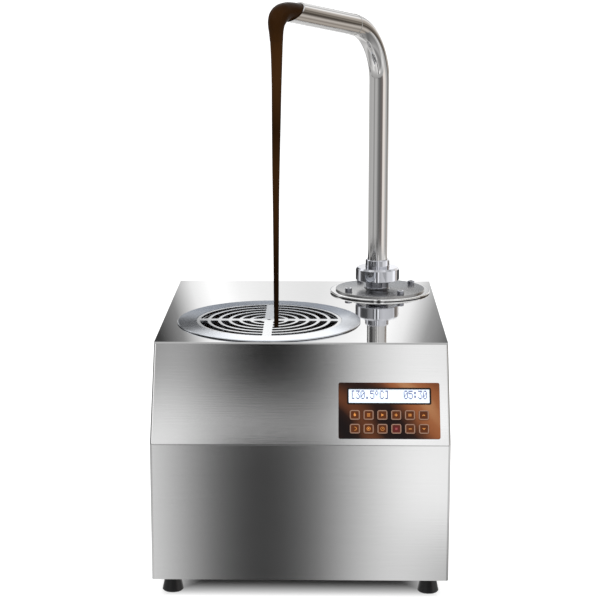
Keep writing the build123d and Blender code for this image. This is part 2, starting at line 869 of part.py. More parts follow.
# Pump barrel, hung from its flange on the top plate
with BuildPart() as pump_barrel:
    with BuildSketch(Plane.XY.offset(z_barrel)):
        with Locations((pump_x, pump_y)):
            Circle(barrel_outer)
    extrude(amount=z_cover - z_barrel)
    with BuildSketch(Plane.XY.offset(z_barrel_flange)):
        with Locations((pump_x, pump_y)):
            Circle(barrel_flange_radius)
    extrude(amount=barrel_flange)
    rim = pump_barrel.edges().filter_by(GeomType.CIRCLE).sort_by(SortBy.RADIUS)[-2:]
    fillet(rim.sort_by(Axis.Z)[-1], barrel_rim_round)
    with BuildSketch(Plane.XY.offset(z_barrel_floor)):
        with Locations((pump_x, pump_y)):
            Circle(barrel_radius)
    extrude(amount=z_cover - z_barrel_floor, mode=Mode.SUBTRACT)
    with BuildSketch(Plane.XY.offset(z_barrel)):
        with Locations((pump_x, pump_y)):
            Circle(bush_radius + socket_gap)
    extrude(amount=barrel_floor, mode=Mode.SUBTRACT)
    with BuildSketch(Plane.XY.offset(z_barrel_flange)):
        with Locations((pump_x, pump_y)):
            with PolarLocations(bolt_circle_radius, bolt_count, start_angle=bolt_start_angle):
                Circle(bolt_radius + screw_gap)
    extrude(amount=barrel_flange, mode=Mode.SUBTRACT)
    with BuildSketch(line_plane):
        Circle(transfer_radius)
    extrude(amount=line_vector.length, mode=Mode.SUBTRACT)
finish(pump_barrel, "pump_barrel")

with BuildPart() as barrel_gasket:
    with BuildSketch(Plane.XY.offset(z_top)):
        with Locations((pump_x, pump_y)):
            Circle(barrel_flange_radius - barrel_gasket_inset)
            Circle(barrel_outer + barrel_hole_gap, mode=Mode.SUBTRACT)
            with PolarLocations(bolt_circle_radius, bolt_count, start_angle=bolt_start_angle):
                Circle(bolt_radius + screw_gap, mode=Mode.SUBTRACT)
    extrude(amount=barrel_gasket_sheet)
finish(barrel_gasket, "barrel_gasket")

# Bush in the barrel's floor
with BuildPart() as auger_bush:
    with BuildSketch(Plane.XY.offset(z_barrel - bush_collar)):
        with Locations((pump_x, pump_y)):
            Circle(bush_collar_radius)
    extrude(amount=bush_collar)
    with BuildSketch(Plane.XY.offset(z_barrel)):
        with Locations((pump_x, pump_y)):
            Circle(bush_radius)
    extrude(amount=barrel_floor)
    with BuildSketch(Plane.XY.offset(z_barrel - bush_collar)):
        with Locations((pump_x, pump_y)):
            Circle(auger_shaft_radius + running_gap)
    extrude(amount=bush_collar + barrel_floor, mode=Mode.SUBTRACT)
finish(auger_bush, "auger_bush")

# Auger: a helical blade round a straight shaft
blade_bottom = z_barrel_floor + auger_end_gap + auger_blade / 2
blade_height = z_cover - auger_head_space - blade_bottom
blade_root = auger_shaft_radius - auger_blade / 2
with BuildPart() as auger:
    with BuildSketch(Plane.XY.offset(z_coupling_middle)):
        with Locations((pump_x, pump_y)):
            Circle(auger_shaft_radius)
    extrude(amount=blade_bottom + blade_height + auger_end_gap - z_coupling_middle)
    chamfer(auger.edges().group_by(Axis.Z)[-1], bend_radius)
    with BuildLine():
        blade_path = Helix(auger_pitch, blade_height, blade_root, center=(pump_x, pump_y, blade_bottom))
    with BuildSketch(Plane(origin=blade_path @ 0, x_dir=(1, 0, 0), z_dir=blade_path % 0)):
        Rectangle(
            barrel_radius - auger_gap - blade_root,
            auger_blade,
            align=(Align.MIN, Align.CENTER),
        )
    sweep(path=blade_path, is_frenet=True)
finish(auger, "auger")

# Coupling between the auger and the gearbox's shaft
with BuildPart() as shaft_coupling:
    with BuildSketch(Plane.XY.offset(z_coupling)):
        with Locations((pump_x, pump_y)):
            Circle(coupling_radius)
            Circle(drive_shaft_radius + socket_gap, mode=Mode.SUBTRACT)
    extrude(amount=coupling_height)
    chamfer(shaft_coupling.edges().group_by(Axis.Z)[0].sort_by(SortBy.RADIUS)[-1], edge_break)
    with BuildSketch(Plane.XY.offset(z_coupling_middle)):
        with Locations((pump_x, pump_y)):
            Circle(auger_shaft_radius + socket_gap)
    extrude(amount=coupling_height / 2, mode=Mode.SUBTRACT)
finish(shaft_coupling, "shaft_coupling")

z_drive_shaft = z_gearbox_top + gearbox_boss - drive_shaft_depth + running_gap
with BuildPart() as gearbox_shaft:
    with BuildSketch(Plane.XY.offset(z_drive_shaft)):
        with Locations((pump_x, pump_y)):
            Circle(drive_shaft_radius)
    extrude(amount=z_coupling_middle - z_drive_shaft)
finish(gearbox_shaft, "gearbox_shaft")

# Worm gearbox on its bracket
with BuildPart() as pump_gearbox:
    with BuildSketch(Plane.XY.offset(z_gearbox)):
        with Locations((pump_x, pump_y)):
            RectangleRounded(gearbox_width, gearbox_width, gearbox_round)
    extrude(amount=gearbox_height)
    fillet(pump_gearbox.edges().group_by(Axis.Z)[-1], gearbox_edge)
    with BuildSketch(Plane.XY.offset(z_gearbox_top)):
        with Locations((pump_x, pump_y)):
            Circle(gearbox_boss_radius)
    extrude(amount=gearbox_boss)
    with BuildSketch(Plane.XY.offset(z_gearbox_top + gearbox_boss)):
        with Locations((pump_x, pump_y)):
            Circle(drive_shaft_radius + running_gap)
    extrude(amount=-drive_shaft_depth, mode=Mode.SUBTRACT)
finish(pump_gearbox, "pump_gearbox")

with BuildPart() as motor_bracket:
    with BuildSketch(Plane.XZ.offset(-pump_y - bracket_width / 2)):
        with BuildLine():
            half_top = gearbox_width / 2
            half_foot = half_top + bracket_foot
            under = z_gearbox - bracket_sheet
            Polyline(
                (pump_x - half_foot, z_floor),
                (pump_x - half_foot, z_floor + bracket_sheet),
                (pump_x - half_top, z_floor + bracket_sheet),
                (pump_x - half_top, z_gearbox),
                (pump_x + half_top, z_gearbox),
                (pump_x + half_top, z_floor + bracket_sheet),
                (pump_x + half_foot, z_floor + bracket_sheet),
                (pump_x + half_foot, z_floor),
                (pump_x + half_top - bracket_sheet, z_floor),
                (pump_x + half_top - bracket_sheet, under),
                (pump_x - half_top + bracket_sheet, under),
                (pump_x - half_top + bracket_sheet, z_floor),
                close=True,
            )
        make_face()
    extrude(amount=bracket_width)
finish(motor_bracket, "motor_bracket")

# Pump motor, flanged to the gearbox's left side, with cooling grooves round its body
motor_section = Plane(
    origin=(pump_x - gearbox_width / 2, pump_y, z_drive),
    x_dir=(-1, 0, 0),
    z_dir=(0, 1, 0),
)
motor_body_end = motor_length - motor_cap
with BuildPart() as pump_motor:
    with BuildSketch(motor_section):
        with BuildLine():
            Polyline(
                (0, 0),
                (0, motor_flange_radius),
                (motor_flange, motor_flange_radius),
                (motor_flange, motor_radius),
                (motor_body_end, motor_radius),
                (motor_body_end, motor_cap_radius),
                (motor_length, motor_cap_radius),
                (motor_length, 0),
                close=True,
            )
        make_face()
        with Locations(((motor_flange + motor_body_end) / 2, motor_radius)):
            with GridLocations(motor_groove_pitch, motor_groove_depth, motor_groove_count, 1):
                Rectangle(motor_groove, 2 * motor_groove_depth, mode=Mode.SUBTRACT)
    revolve(axis=Axis((pump_x, pump_y, z_drive), (1, 0, 0)))
    fillet(pump_motor.faces().sort_by(Axis.X)[0].edges(), bend_radius)
finish(pump_motor, "pump_motor")

# Cover flange with the neck that carries the spout, welded to it off centre
with BuildPart() as cover_flange:
    with BuildSketch(Plane.XY.offset(z_cover)):
        with Locations((pump_x, pump_y)):
            Circle(cover_radius)
    extrude(amount=cover_sheet)
    chamfer(cover_flange.edges().group_by(Axis.Z)[-1], edge_break)
    with BuildSketch(Plane.XY.offset(z_cover_top)):
        with Locations((spout_x, spout_y)):
            Circle(neck_radius)
    extrude(amount=z_spigot - z_cover_top)
    neck_root = cover_flange.edges().filter_by(GeomType.CIRCLE).filter_by_position(
        Axis.Z, z_cover_top, z_cover_top
    )
    fillet(neck_root.sort_by(SortBy.RADIUS)[0], neck_weld)
    with BuildSketch(Plane.XY.offset(z_spigot)):
        with Locations((spout_x, spout_y)):
            Circle(spigot_radius)
    extrude(amount=spigot_height)
    chamfer(cover_flange.edges().group_by(Axis.Z)[-1], spigot_gap)
    with BuildSketch(Plane.XY.offset(z_cover)):
        with Locations((spout_x, spout_y)):
            Circle(tube_bore)
        with Locations((pump_x, pump_y)):
            with PolarLocations(bolt_circle_radius, bolt_count, start_angle=bolt_start_angle):
                Circle(bolt_radius + screw_gap)
    extrude(amount=z_union - z_cover, mode=Mode.SUBTRACT)
finish(cover_flange, "cover_flange")

# Four socket-head screws through the cover, the barrel's flange and the top plate
with BuildPart() as cover_screws:
    with BuildSketch(Plane.XY.offset(z_cover_top)):
        with Locations((pump_x, pump_y)):
            with PolarLocations(bolt_circle_radius, bolt_count, start_angle=bolt_start_angle):
                Circle(bolt_head_radius)
    extrude(amount=bolt_head_height)
    chamfer(cover_screws.edges().group_by(Axis.Z)[-1], edge_break)
    with BuildSketch(Plane.XY.offset(z_cover_top + bolt_head_height)):
        with Locations((pump_x, pump_y)):
            with PolarLocations(bolt_circle_radius, bolt_count, start_angle=bolt_start_angle):
                RegularPolygon(bolt_socket / 2, 6, major_radius=False)
    extrude(amount=-bolt_socket_depth, mode=Mode.SUBTRACT)
    with BuildSketch(Plane.XY.offset(z_cover_top)):
        with Locations((pump_x, pump_y)):
            with PolarLocations(bolt_circle_radius, bolt_count, start_angle=bolt_start_angle):
                Circle(bolt_radius)
    extrude(amount=z_rim - bolt_boss_height - z_cover_top)
finish(cover_screws, "cover_screws")

with BuildPart() as spout_gasket:
    with BuildSketch(Plane.XY.offset(z_union)):
        with Locations((spout_x, spout_y)):
            Circle(ferrule_flange_radius)
            Circle(tube_bore, mode=Mode.SUBTRACT)
    extrude(amount=spout_gasket_sheet)
finish(spout_gasket, "spout_gasket")

# Union nut: clamps the ferrule's flange down on the spigot
z_lip = z_ferrule + ferrule_flange + union_gap
with BuildPart() as union_nut:
    with BuildSketch(Plane.XY.offset(z_nut)):
        with Locations((spout_x, spout_y)):
            Circle(nut_radius)
    extrude(amount=z_lip + nut_lip - z_nut)
    chamfer(union_nut.edges().group_by(Axis.Z)[-1], nut_chamfer)
    chamfer(union_nut.edges().group_by(Axis.Z)[0], nut_edge)
    with BuildSketch(Plane.XY.offset(z_nut)):
        with Locations((spout_x, spout_y)):
            Circle(spigot_radius + nut_thread_gap)
    extrude(amount=z_lip - z_nut, mode=Mode.SUBTRACT)
    with BuildSketch(Plane.XY.offset(z_lip)):
        with Locations((spout_x, spout_y)):
            Circle(ferrule_radius + union_gap)
    extrude(amount=nut_lip, mode=Mode.SUBTRACT)
finish(union_nut, "union_nut")

# Ferrule welded round the riser's foot
with BuildPart() as spout_ferrule:
    with BuildSketch(Plane.XY.offset(z_ferrule)):
        with Locations((spout_x, spout_y)):
            Circle(ferrule_flange_radius)
    extrude(amount=ferrule_flange)
    with BuildSketch(Plane.XY.offset(z_ferrule)):
        with Locations((spout_x, spout_y)):
            Circle(ferrule_radius)
    extrude(amount=ferrule_height)
    chamfer(spout_ferrule.edges().group_by(Axis.Z)[-1], ferrule_edge)
    with BuildSketch(Plane.XY.offset(z_ferrule)):
        with Locations((spout_x, spout_y)):
            Circle(tube_radius + weld_gap)
    extrude(amount=ferrule_height, mode=Mode.SUBTRACT)
finish(spout_ferrule, "spout_ferrule")

# Spout: a riser tube with its bend, and the arm welded to the bend's end
spout_plane = Plane(
    origin=(spout_x, spout_y, 0),
    x_dir=spout_dir,
    z_dir=spout_dir.cross(Vector(0, 0, 1)),
)
z_bend = z_spout_corner - bend_tangent
with BuildPart() as spout_riser:
    with BuildLine(spout_plane) as riser_path:
        Line((0, z_ferrule), (0, z_bend))
        JernArc((0, z_bend), (0, 1), spout_bend_radius, -spout_turn)
    with BuildSketch(Plane.XY.offset(z_ferrule)):
        with Locations((spout_x, spout_y)):
            Circle(tube_radius)
            Circle(tube_bore, mode=Mode.SUBTRACT)
    sweep(path=riser_path.wire())
finish(spout_riser, "spout_riser")

arm_up = Vector(0, 0, 1) - arm_dir * arm_dir.Z
bevel_turn = math.radians(outlet_bevel)
outlet_normal = arm_dir * math.cos(bevel_turn) + arm_up.normalized() * math.sin(bevel_turn)
with BuildPart() as spout_arm:
    with BuildSketch(Plane(origin=arm_start, z_dir=arm_dir)):
        Circle(tube_radius)
        Circle(tube_bore, mode=Mode.SUBTRACT)
    extrude(amount=(arm_end - arm_start).length + tube_radius)
    split(bisect_by=Plane(origin=arm_end, z_dir=outlet_normal), keep=Keep.BOTTOM)
finish(spout_arm, "spout_arm")

# Control panel: printed overlay with openings for the display and the keys
with BuildPart() as panel_overlay:
    with BuildSketch(panel_plane):
        RectangleRounded(panel_width, panel_height, panel_corner)
        with Locations((0, display_rise)):
            RectangleRounded(display_width, display_height, display_round, mode=Mode.SUBTRACT)
        with Locations((0, -key_drop)):
            with GridLocations(key_pitch_x, key_pitch_y, key_columns, key_rows):
                RectangleRounded(
                    key_size + 2 * key_gap,
                    key_size + 2 * key_gap,
                    key_corner + key_gap,
                    mode=Mode.SUBTRACT,
                )
    extrude(amount=panel_sheet)
finish(panel_overlay, "panel_overlay")

display_face = panel_sheet - display_recess
display_back = display_face - display_depth
with BuildPart() as display_glass:
    with BuildSketch(panel_plane.offset(display_back)):
        with Locations((0, display_rise)):
            RectangleRounded(display_width - 2 * key_gap, display_height - 2 * key_gap, display_round)
    extrude(amount=display_depth)
finish(display_glass, "display_glass")

with BuildPart() as display_module:
    with BuildSketch(panel_plane.offset(-board_depth)):
        with Locations((0, display_rise)):
            Rectangle(display_width + 2 * module_margin, display_height + 2 * module_margin)
    extrude(amount=display_back + board_depth)
finish(display_module, "display_module")

# Control board: posts to the shell and one switch under each key
key_under = -key_flange_height - key_stem_length
switch_top = key_under - key_travel - key_switch_gap
board_width = panel_width - 2 * window_margin
board_height = panel_height - 2 * window_margin
with BuildPart() as control_board:
    with BuildSketch(panel_plane.offset(-board_depth)):
        Rectangle(board_width, board_height)
    extrude(amount=-board_sheet)
    with BuildSketch(panel_plane.offset(-board_depth)):
        with GridLocations(board_width - 2 * post_inset, board_height - 2 * post_inset, 2, 2):
            Circle(post_radius)
    extrude(amount=board_depth - sheet)
    with BuildSketch(panel_plane.offset(-board_depth)):
        with Locations((0, -key_drop)):
            with GridLocations(key_pitch_x, key_pitch_y, key_columns, key_rows):
                Rectangle(key_switch_width, key_switch_width)
    extrude(amount=board_depth + switch_top)
finish(control_board, "control_board")

# Keys: a dished cap above the overlay, a flange under it and a stem over the switch
for row in range(key_rows):
    for column in range(key_columns):
        key_place = (
            (column - (key_columns - 1) / 2) * key_pitch_x,
            -key_drop - (row - (key_rows - 1) / 2) * key_pitch_y,
        )
        with BuildPart() as key:
            with BuildSketch(panel_plane.offset(-key_flange_height)):
                with Locations(key_place):
                    Rectangle(key_size + 2 * key_flange, key_size + 2 * key_flange)
            extrude(amount=key_flange_height)
            with BuildSketch(panel_plane):
                with Locations(key_place):
                    RectangleRounded(key_size, key_size, key_corner)
            extrude(amount=panel_sheet + key_proud)
            with BuildSketch(panel_plane.offset(panel_sheet + key_proud)):
                with Locations(key_place):
                    RectangleRounded(key_size - 2 * key_rim, key_size - 2 * key_rim, key_corner - key_rim / 2)
            extrude(amount=-key_dish, mode=Mode.SUBTRACT)
            with BuildSketch(panel_plane.offset(-key_flange_height)):
                with Locations(key_place):
                    Circle(key_stem_radius)
            extrude(amount=-key_stem_length)
        finish(key, f"key_{row * key_columns + column + 1}")

# Mains inlet with its three pins, and the pocket of the switch above it
y_inlet_face = y_rear_face + inlet_plate
z_rocker = z_inlet + rocker_rise
y_rocker = y_inlet_face - rocker_inset
rocker_reach = math.hypot(rocker_half, rocker_crown)
with BuildPart() as power_inlet:
    with BuildSketch(rear_plane(y_rear_face)):
        with Locations(inlet_center):
            RectangleRounded(inlet_width, inlet_height, inlet_corner)
    extrude(amount=inlet_plate)
    chamfer(power_inlet.faces().sort_by(Axis.Y)[-1].edges(), edge_break)
    with BuildSketch(rear_plane(y_rear_face)):
        with Locations(inlet_center):
            Rectangle(inlet_body_width, inlet_body_height)
    extrude(amount=-inlet_body_depth)
    with BuildSketch(rear_plane(y_inlet_face)):
        with Locations((-inlet_x, z_inlet - inlet_socket_drop)):
            socket_outline = Rectangle(inlet_socket_width, inlet_socket_height)
            chamfer(socket_outline.vertices().group_by(Axis.Y)[-1], inlet_socket_corner)
    extrude(amount=-inlet_socket_depth, mode=Mode.SUBTRACT)
    with BuildSketch(rear_plane(y_inlet_face - inlet_socket_depth)):
        with Locations((-inlet_x, z_inlet - inlet_socket_drop)):
            with Locations((-pin_spread, -pin_offset), (pin_spread, -pin_offset), (0, pin_offset)):
                Rectangle(pin_width, pin_height)
    extrude(amount=pin_length)
    with BuildSketch(rear_plane(y_inlet_face)):
        with Locations((-inlet_x, z_rocker)):
            Rectangle(rocker_width + 2 * rocker_gap, 2 * (rocker_reach + rocker_gap))
    extrude(amount=-rocker_pocket_depth, mode=Mode.SUBTRACT)
    with BuildSketch(Plane.YZ.offset(inlet_x)):
        with Locations((y_rocker, z_rocker)):
            Circle(rocker_pin_radius + running_gap)
    extrude(amount=rocker_width / 2 + rocker_gap + rocker_pin_length, both=True, mode=Mode.SUBTRACT)
finish(power_inlet, "power_inlet")

with BuildPart() as mains_rocker:
    rocker_plane = Plane(
        origin=(inlet_x, y_rocker, z_rocker),
        x_dir=(0, math.cos(math.radians(rocker_tip)), math.sin(math.radians(rocker_tip))),
        z_dir=(1, 0, 0),
    )
    with BuildSketch(rocker_plane):
        with BuildLine():
            Polyline(
                (rocker_crown, -rocker_half),
                (rocker_valley, 0),
                (rocker_crown, rocker_half),
                (-rocker_body, rocker_half - rocker_body / 2),
                (-rocker_body, -rocker_half + rocker_body / 2),
                close=True,
            )
        make_face()
    extrude(amount=rocker_width / 2, both=True)
    with BuildSketch(rocker_plane):
        Circle(rocker_pin_radius)
    extrude(amount=rocker_width / 2 + rocker_pin_length, both=True)
finish(mains_rocker, "mains_rocker")

# Power supply on the base pan, with vent slots in its cover
supply_x = x_side - supply_side_margin
supply_y = y_front + supply_front_margin
z_supply_top = z_floor + supply_height
with BuildPart() as power_supply:
    with BuildSketch(Plane.XY.offset(z_floor)):
        with Locations((supply_x, supply_y)):
            RectangleRounded(supply_width, supply_length, supply_round)
    extrude(amount=supply_height)
    with BuildSketch(Plane.XY.offset(z_supply_top)):
        with Locations((supply_x, supply_y)):
            with GridLocations(supply_slot_pitch, supply_slot_pitch, 1, supply_slot_count):
                SlotOverall(supply_width / 2, supply_slot_width)
    extrude(amount=-supply_slot_depth, mode=Mode.SUBTRACT)
finish(power_supply, "power_supply")

# Wiring: leads from the inlet, the motors, the probe and the board to the power supply
supply_left = supply_x - supply_width / 2
supply_rear = supply_y + supply_length / 2
z_low = z_floor + lead_lift
z_mid = z_floor + supply_height / 2
z_lead_inlet = z_inlet - inlet_body_height / 4
y_inlet_back = y_rear_face - inlet_body_depth
motor_cap_x = pump_x - gearbox_width / 2 - motor_length + motor_cap / 2
y_motor_side = pump_y - motor_cap_radius
probe_end = Vector(tank_x, tank_y, z_probe) + probe_dir * (tank_outer + probe_gap + probe_length)
probe_turn_point = probe_end + probe_dir * probe_lead_exit
board_back = panel_origin - panel_normal * (board_depth + board_sheet)
board_turn_point = board_back - panel_normal * board_lead_exit
lead_routes = [
    [
        (inlet_x, y_inlet_back, z_lead_inlet),
        (inlet_x, y_inlet_back - lead_exit, z_lead_inlet),
        (inlet_x, y_inlet_back - lead_exit - lead_slope_run, z_low),
        (inlet_x, supply_y, z_low),
        (supply_left, supply_y, z_low),
    ],
    [
        (board_back.X, board_turn_point.Y, z_supply_top),
        board_turn_point,
        board_back,
    ],
    [
        (supply_x - supply_width / 4, supply_rear, z_mid),
        (supply_x - supply_width / 4, supply_rear + motor_lead_run, z_mid),
        (motor_cap_x, y_motor_side - motor_lead_exit, z_drive),
        (motor_cap_x, y_motor_side, z_drive),
    ],
    [
        (supply_left, supply_y + supply_length / 4, z_mid),
        (supply_left - lead_exit, supply_y + supply_length / 4, z_mid),
        (tank_x + stirrer_motor_radius + lead_exit, tank_y, z_drive),
        (tank_x + stirrer_motor_radius, tank_y, z_drive),
    ],
    [
        probe_end,
        probe_turn_point,
        (probe_turn_point.X, probe_turn_point.Y, z_mid),
        (probe_turn_point.X + probe_lead_run, supply_y - supply_length / 4, z_mid),
        (supply_left, supply_y - supply_length / 4, z_mid),
    ],
]
with BuildPart() as wiring:
    for route in lead_routes:
        with BuildLine() as lead_path:
            FilletPolyline(*route, radius=lead_bend)
        with BuildSketch(Plane(origin=lead_path.wire() @ 0, z_dir=lead_path.wire() % 0)):
            Circle(lead_radius)
        sweep(path=lead_path.wire())
finish(wiring, "wiring")
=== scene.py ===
"""Looks of a table-top chocolate dispenser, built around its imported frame.

Metres, +Z up, front towards -Y.
"""
import json
import math

import bmesh
import bpy
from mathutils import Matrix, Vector


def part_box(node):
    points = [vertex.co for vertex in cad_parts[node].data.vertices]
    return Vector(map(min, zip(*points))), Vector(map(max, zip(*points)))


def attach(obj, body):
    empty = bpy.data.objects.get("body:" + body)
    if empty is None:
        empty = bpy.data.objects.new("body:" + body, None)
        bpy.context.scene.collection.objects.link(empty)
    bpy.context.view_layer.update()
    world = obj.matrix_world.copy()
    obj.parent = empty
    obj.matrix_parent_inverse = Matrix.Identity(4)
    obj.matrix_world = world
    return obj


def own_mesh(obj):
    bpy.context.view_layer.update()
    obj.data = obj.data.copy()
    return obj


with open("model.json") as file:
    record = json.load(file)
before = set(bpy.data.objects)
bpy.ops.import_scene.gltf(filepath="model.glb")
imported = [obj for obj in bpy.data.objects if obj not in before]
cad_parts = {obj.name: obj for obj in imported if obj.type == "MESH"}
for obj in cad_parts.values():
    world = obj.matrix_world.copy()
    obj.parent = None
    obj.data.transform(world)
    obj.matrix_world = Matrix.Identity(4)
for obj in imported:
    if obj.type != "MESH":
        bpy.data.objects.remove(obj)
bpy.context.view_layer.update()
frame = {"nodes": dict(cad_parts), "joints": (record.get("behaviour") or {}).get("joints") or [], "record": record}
nodes = frame["nodes"]
scene = bpy.context.scene
scene.view_settings.view_transform = "Standard"

MM = 0.001
FEET = ("front_left", "front_right", "rear_left", "rear_right")
KEYS = tuple(f"key_{number}" for number in range(1, 13))
WHITE = (1.0, 1.0, 1.0, 1.0)
ACROSS = Vector((1.0, 0.0, 0.0))
BACKWARD = Vector((0.0, 1.0, 0.0))
UPRIGHT = Vector((0.0, 0.0, 1.0))
# Least cosine between an axis and the normal of a face that looks along it
FACING = 0.9
# Angle in radians from which an edge of a smooth piece stays sharp
SHARP_ANGLE = 0.6


def middle(name):
    """Middle of a node's box."""
    low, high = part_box(name)
    return (low + high) / 2


def extent(name, axis):
    """Lowest and highest reach of a node along an axis."""
    reaches = [vertex.co.dot(axis) for vertex in nodes[name].data.vertices]
    return min(reaches), max(reaches)


class Look:
    """A node material on one Principled shader; constants are set on its sockets."""

    def __init__(self, name, color, roughness, metallic=0.0, **sockets):
        self.material = bpy.data.materials.new(name)
        self.material.use_nodes = True
        self.nodes = self.material.node_tree.nodes
        self.links = self.material.node_tree.links
        self.shader = self.nodes["Principled BSDF"]
        self.color = color
        self.roughness = roughness
        self.set(Base_Color=(*color, 1.0), Roughness=roughness, Metallic=metallic, **sockets)
        self.place = self.add("ShaderNodeTexCoord").outputs["Object"]

    def set(self, **sockets):
        """Sets sockets of the shader; a name has _ for each space."""
        for name, value in sockets.items():
            self.shader.inputs[name.replace("_", " ")].default_value = value

    def add(self, kind, **settings):
        """A new node."""
        node = self.nodes.new(kind)
        for name, value in settings.items():
            setattr(node, name, value)
        return node

    def join(self, output, node, socket):
        """Links an output to a node's socket."""
        self.links.new(output, node.inputs[socket])

    def feed(self, output, socket):
        """Links an output to the shader's socket."""
        self.join(output, self.shader, socket)

    def give(self, socket, value):
        """Sets a socket to a constant, or links an output to it."""
        if isinstance(value, (int, float, tuple)):
            socket.default_value = value
        else:
            self.links.new(value, socket)

    def mapped(self, scale, location=(0, 0, 0), turn=(0, 0, 0), kind="POINT"):
        """Places scaled, moved and turned."""
        node = self.add("ShaderNodeMapping", vector_type=kind)
        node.inputs["Scale"].default_value = scale
        node.inputs["Location"].default_value = location
        node.inputs["Rotation"].default_value = turn
        self.join(self.place, node, "Vector")
        return node.outputs["Vector"]

    def split(self, place):
        """The three coordinates of a place."""
        node = self.add("ShaderNodeSeparateXYZ")
        self.join(place, node, "Vector")
        return node.outputs["X"], node.outputs["Y"], node.outputs["Z"]

    def height(self):
        """The height of each point."""
        return self.split(self.place)[2]

    def noise(self, place, scale=1.0, detail=3.0, rough=0.55):
        """A soft random pattern."""
        node = self.add("ShaderNodeTexNoise")
        self.join(place, node, "Vector")
        node.inputs["Scale"].default_value = scale
        node.inputs["Detail"].default_value = detail
        node.inputs["Roughness"].default_value = rough
        return node.outputs["Fac"]

    def math(self, operation, first, second=0.0):
        """One sum on numbers."""
        node = self.add("ShaderNodeMath", operation=operation)
        for socket, value in zip(node.inputs, (first, second)):
            self.give(socket, value)
        return node.outputs[0]

    def mean(self, first, second):
        """The middle between two numbers."""
        return self.math("MULTIPLY", self.math("ADD", first, second), 0.5)

    def vector(self, operation, first, second=(0.0, 0.0, 0.0)):
        """One sum on vectors."""
        node = self.add("ShaderNodeVectorMath", operation=operation)
        for socket, value in zip(node.inputs, (first, second)):
            self.give(socket, value)
        return node.outputs["Value" if operation == "LENGTH" else "Vector"]

    def range(self, fac, low, high, start=0.0, end=1.0, smooth=False):
        """Goes from low to high while a number goes from start to end."""
        node = self.add("ShaderNodeMapRange")
        node.interpolation_type = "SMOOTHSTEP" if smooth else "LINEAR"
        self.join(fac, node, "Value")
        for name, value in zip(("From Min", "From Max", "To Min", "To Max"), (start, end, low, high)):
            node.inputs[name].default_value = value
        return node.outputs["Result"]

    def ramp(self, fac, stops):
        """Colours or grey tones at stops between 0 and 1."""
        node = self.add("ShaderNodeValToRGB")
        ramp = node.color_ramp
        while len(ramp.elements) < len(stops):
            ramp.elements.new(1.0)
        for element, (position, color) in zip(ramp.elements, stops):
            element.position = position
            element.color = (*color, 1.0) if isinstance(color, tuple) else (color, color, color, 1.0)
        self.join(fac, node, "Fac")
        return node.outputs["Color"]

    def blend(self, fac, first, second, mode="MIX"):
        """Two colours mixed by a factor."""
        node = self.add("ShaderNodeMix", data_type="RGBA", blend_type=mode)
        colors = [(*color, 1.0) if isinstance(color, tuple) else color for color in (first, second)]
        sockets = [socket for socket in node.inputs if socket.enabled]
        for socket, value in zip(sockets, (fac, *colors)):
            self.give(socket, value)
        return next(socket for socket in node.outputs if socket.enabled)

    def tone(self, fac, dark, light):
        """Varies the base colour between two factors of itself."""
        low = tuple(part * dark for part in self.color)
        high = tuple(min(part * light, 1.0) for part in self.color)
        self.feed(self.blend(fac, low, high), "Base Color")

    def gloss(self, fac, spread):
        """Varies the roughness by a spread to each side."""
        self.feed(self.range(fac, self.roughness - spread, self.roughness + spread), "Roughness")

    def bump(self, height, strength, distance, over=None):
        """Bumps the surface, over an earlier bump where one is given."""
        node = self.add("ShaderNodeBump")
        node.inputs["Strength"].default_value = strength
        node.inputs["Distance"].default_value = distance
        self.join(height, node, "Height")
        if over is not None:
            self.join(over, node, "Normal")
        self.feed(node.outputs["Normal"], "Normal")
        return node.outputs["Normal"]


def brushed(name, color, roughness, lines, spread):
    """Steel with fine brush lines; lines gives the pattern's frequency along X, Y and Z."""
    look = Look(name, color, roughness, metallic=1.0)
    grain = look.noise(look.mapped(lines), detail=4.0, rough=0.65)
    smudge = look.noise(look.place, scale=7.0)
    look.tone(grain, dark=0.95, light=1.04)
    look.gloss(look.mean(grain, smudge), spread)
    look.bump(grain, strength=0.05, distance=0.2 * MM)
    return look.material


def turned(name, color, roughness, center, anisotropy, slope):
    """Steel brushed in rings around a vertical line, falling outwards by a slight slope."""
    rings_per_metre = 900.0
    look = Look(name, color, roughness, metallic=1.0, Anisotropic=anisotropy)
    off = look.vector("SUBTRACT", look.place, tuple(center))
    flat = look.vector("MULTIPLY", off, (1.0, 1.0, 0.0))
    radius = look.vector("LENGTH", flat)
    along = look.add("ShaderNodeCombineXYZ")
    look.join(look.math("MULTIPLY", radius, rings_per_metre), along, "X")
    rings = look.noise(along.outputs["Vector"], rough=0.7)
    smudge = look.noise(look.place, scale=18.0)
    look.feed(look.vector("NORMALIZE", flat), "Tangent")
    look.tone(rings, dark=0.93, light=1.05)
    look.gloss(look.mean(rings, smudge), spread=0.05)
    cone = look.bump(look.math("MULTIPLY", radius, -slope), strength=1.0, distance=1.0)
    look.bump(rings, strength=0.04, distance=0.2 * MM, over=cone)
    return look.material


def polished(name, color, roughness, spread=0.03, waviness=0.05):
    """Bright steel with faint polishing marks and a slightly uneven skin."""
    look = Look(name, color, roughness, metallic=1.0)
    marks = look.noise(look.mapped((160.0, 160.0, 22.0)), detail=4.0)
    smudge = look.noise(look.place, scale=35.0, detail=2.0)
    look.tone(marks, dark=0.96, light=1.03)
    look.gloss(look.mean(marks, smudge), spread)
    look.bump(smudge, strength=waviness, distance=0.4 * MM)
    return look.material


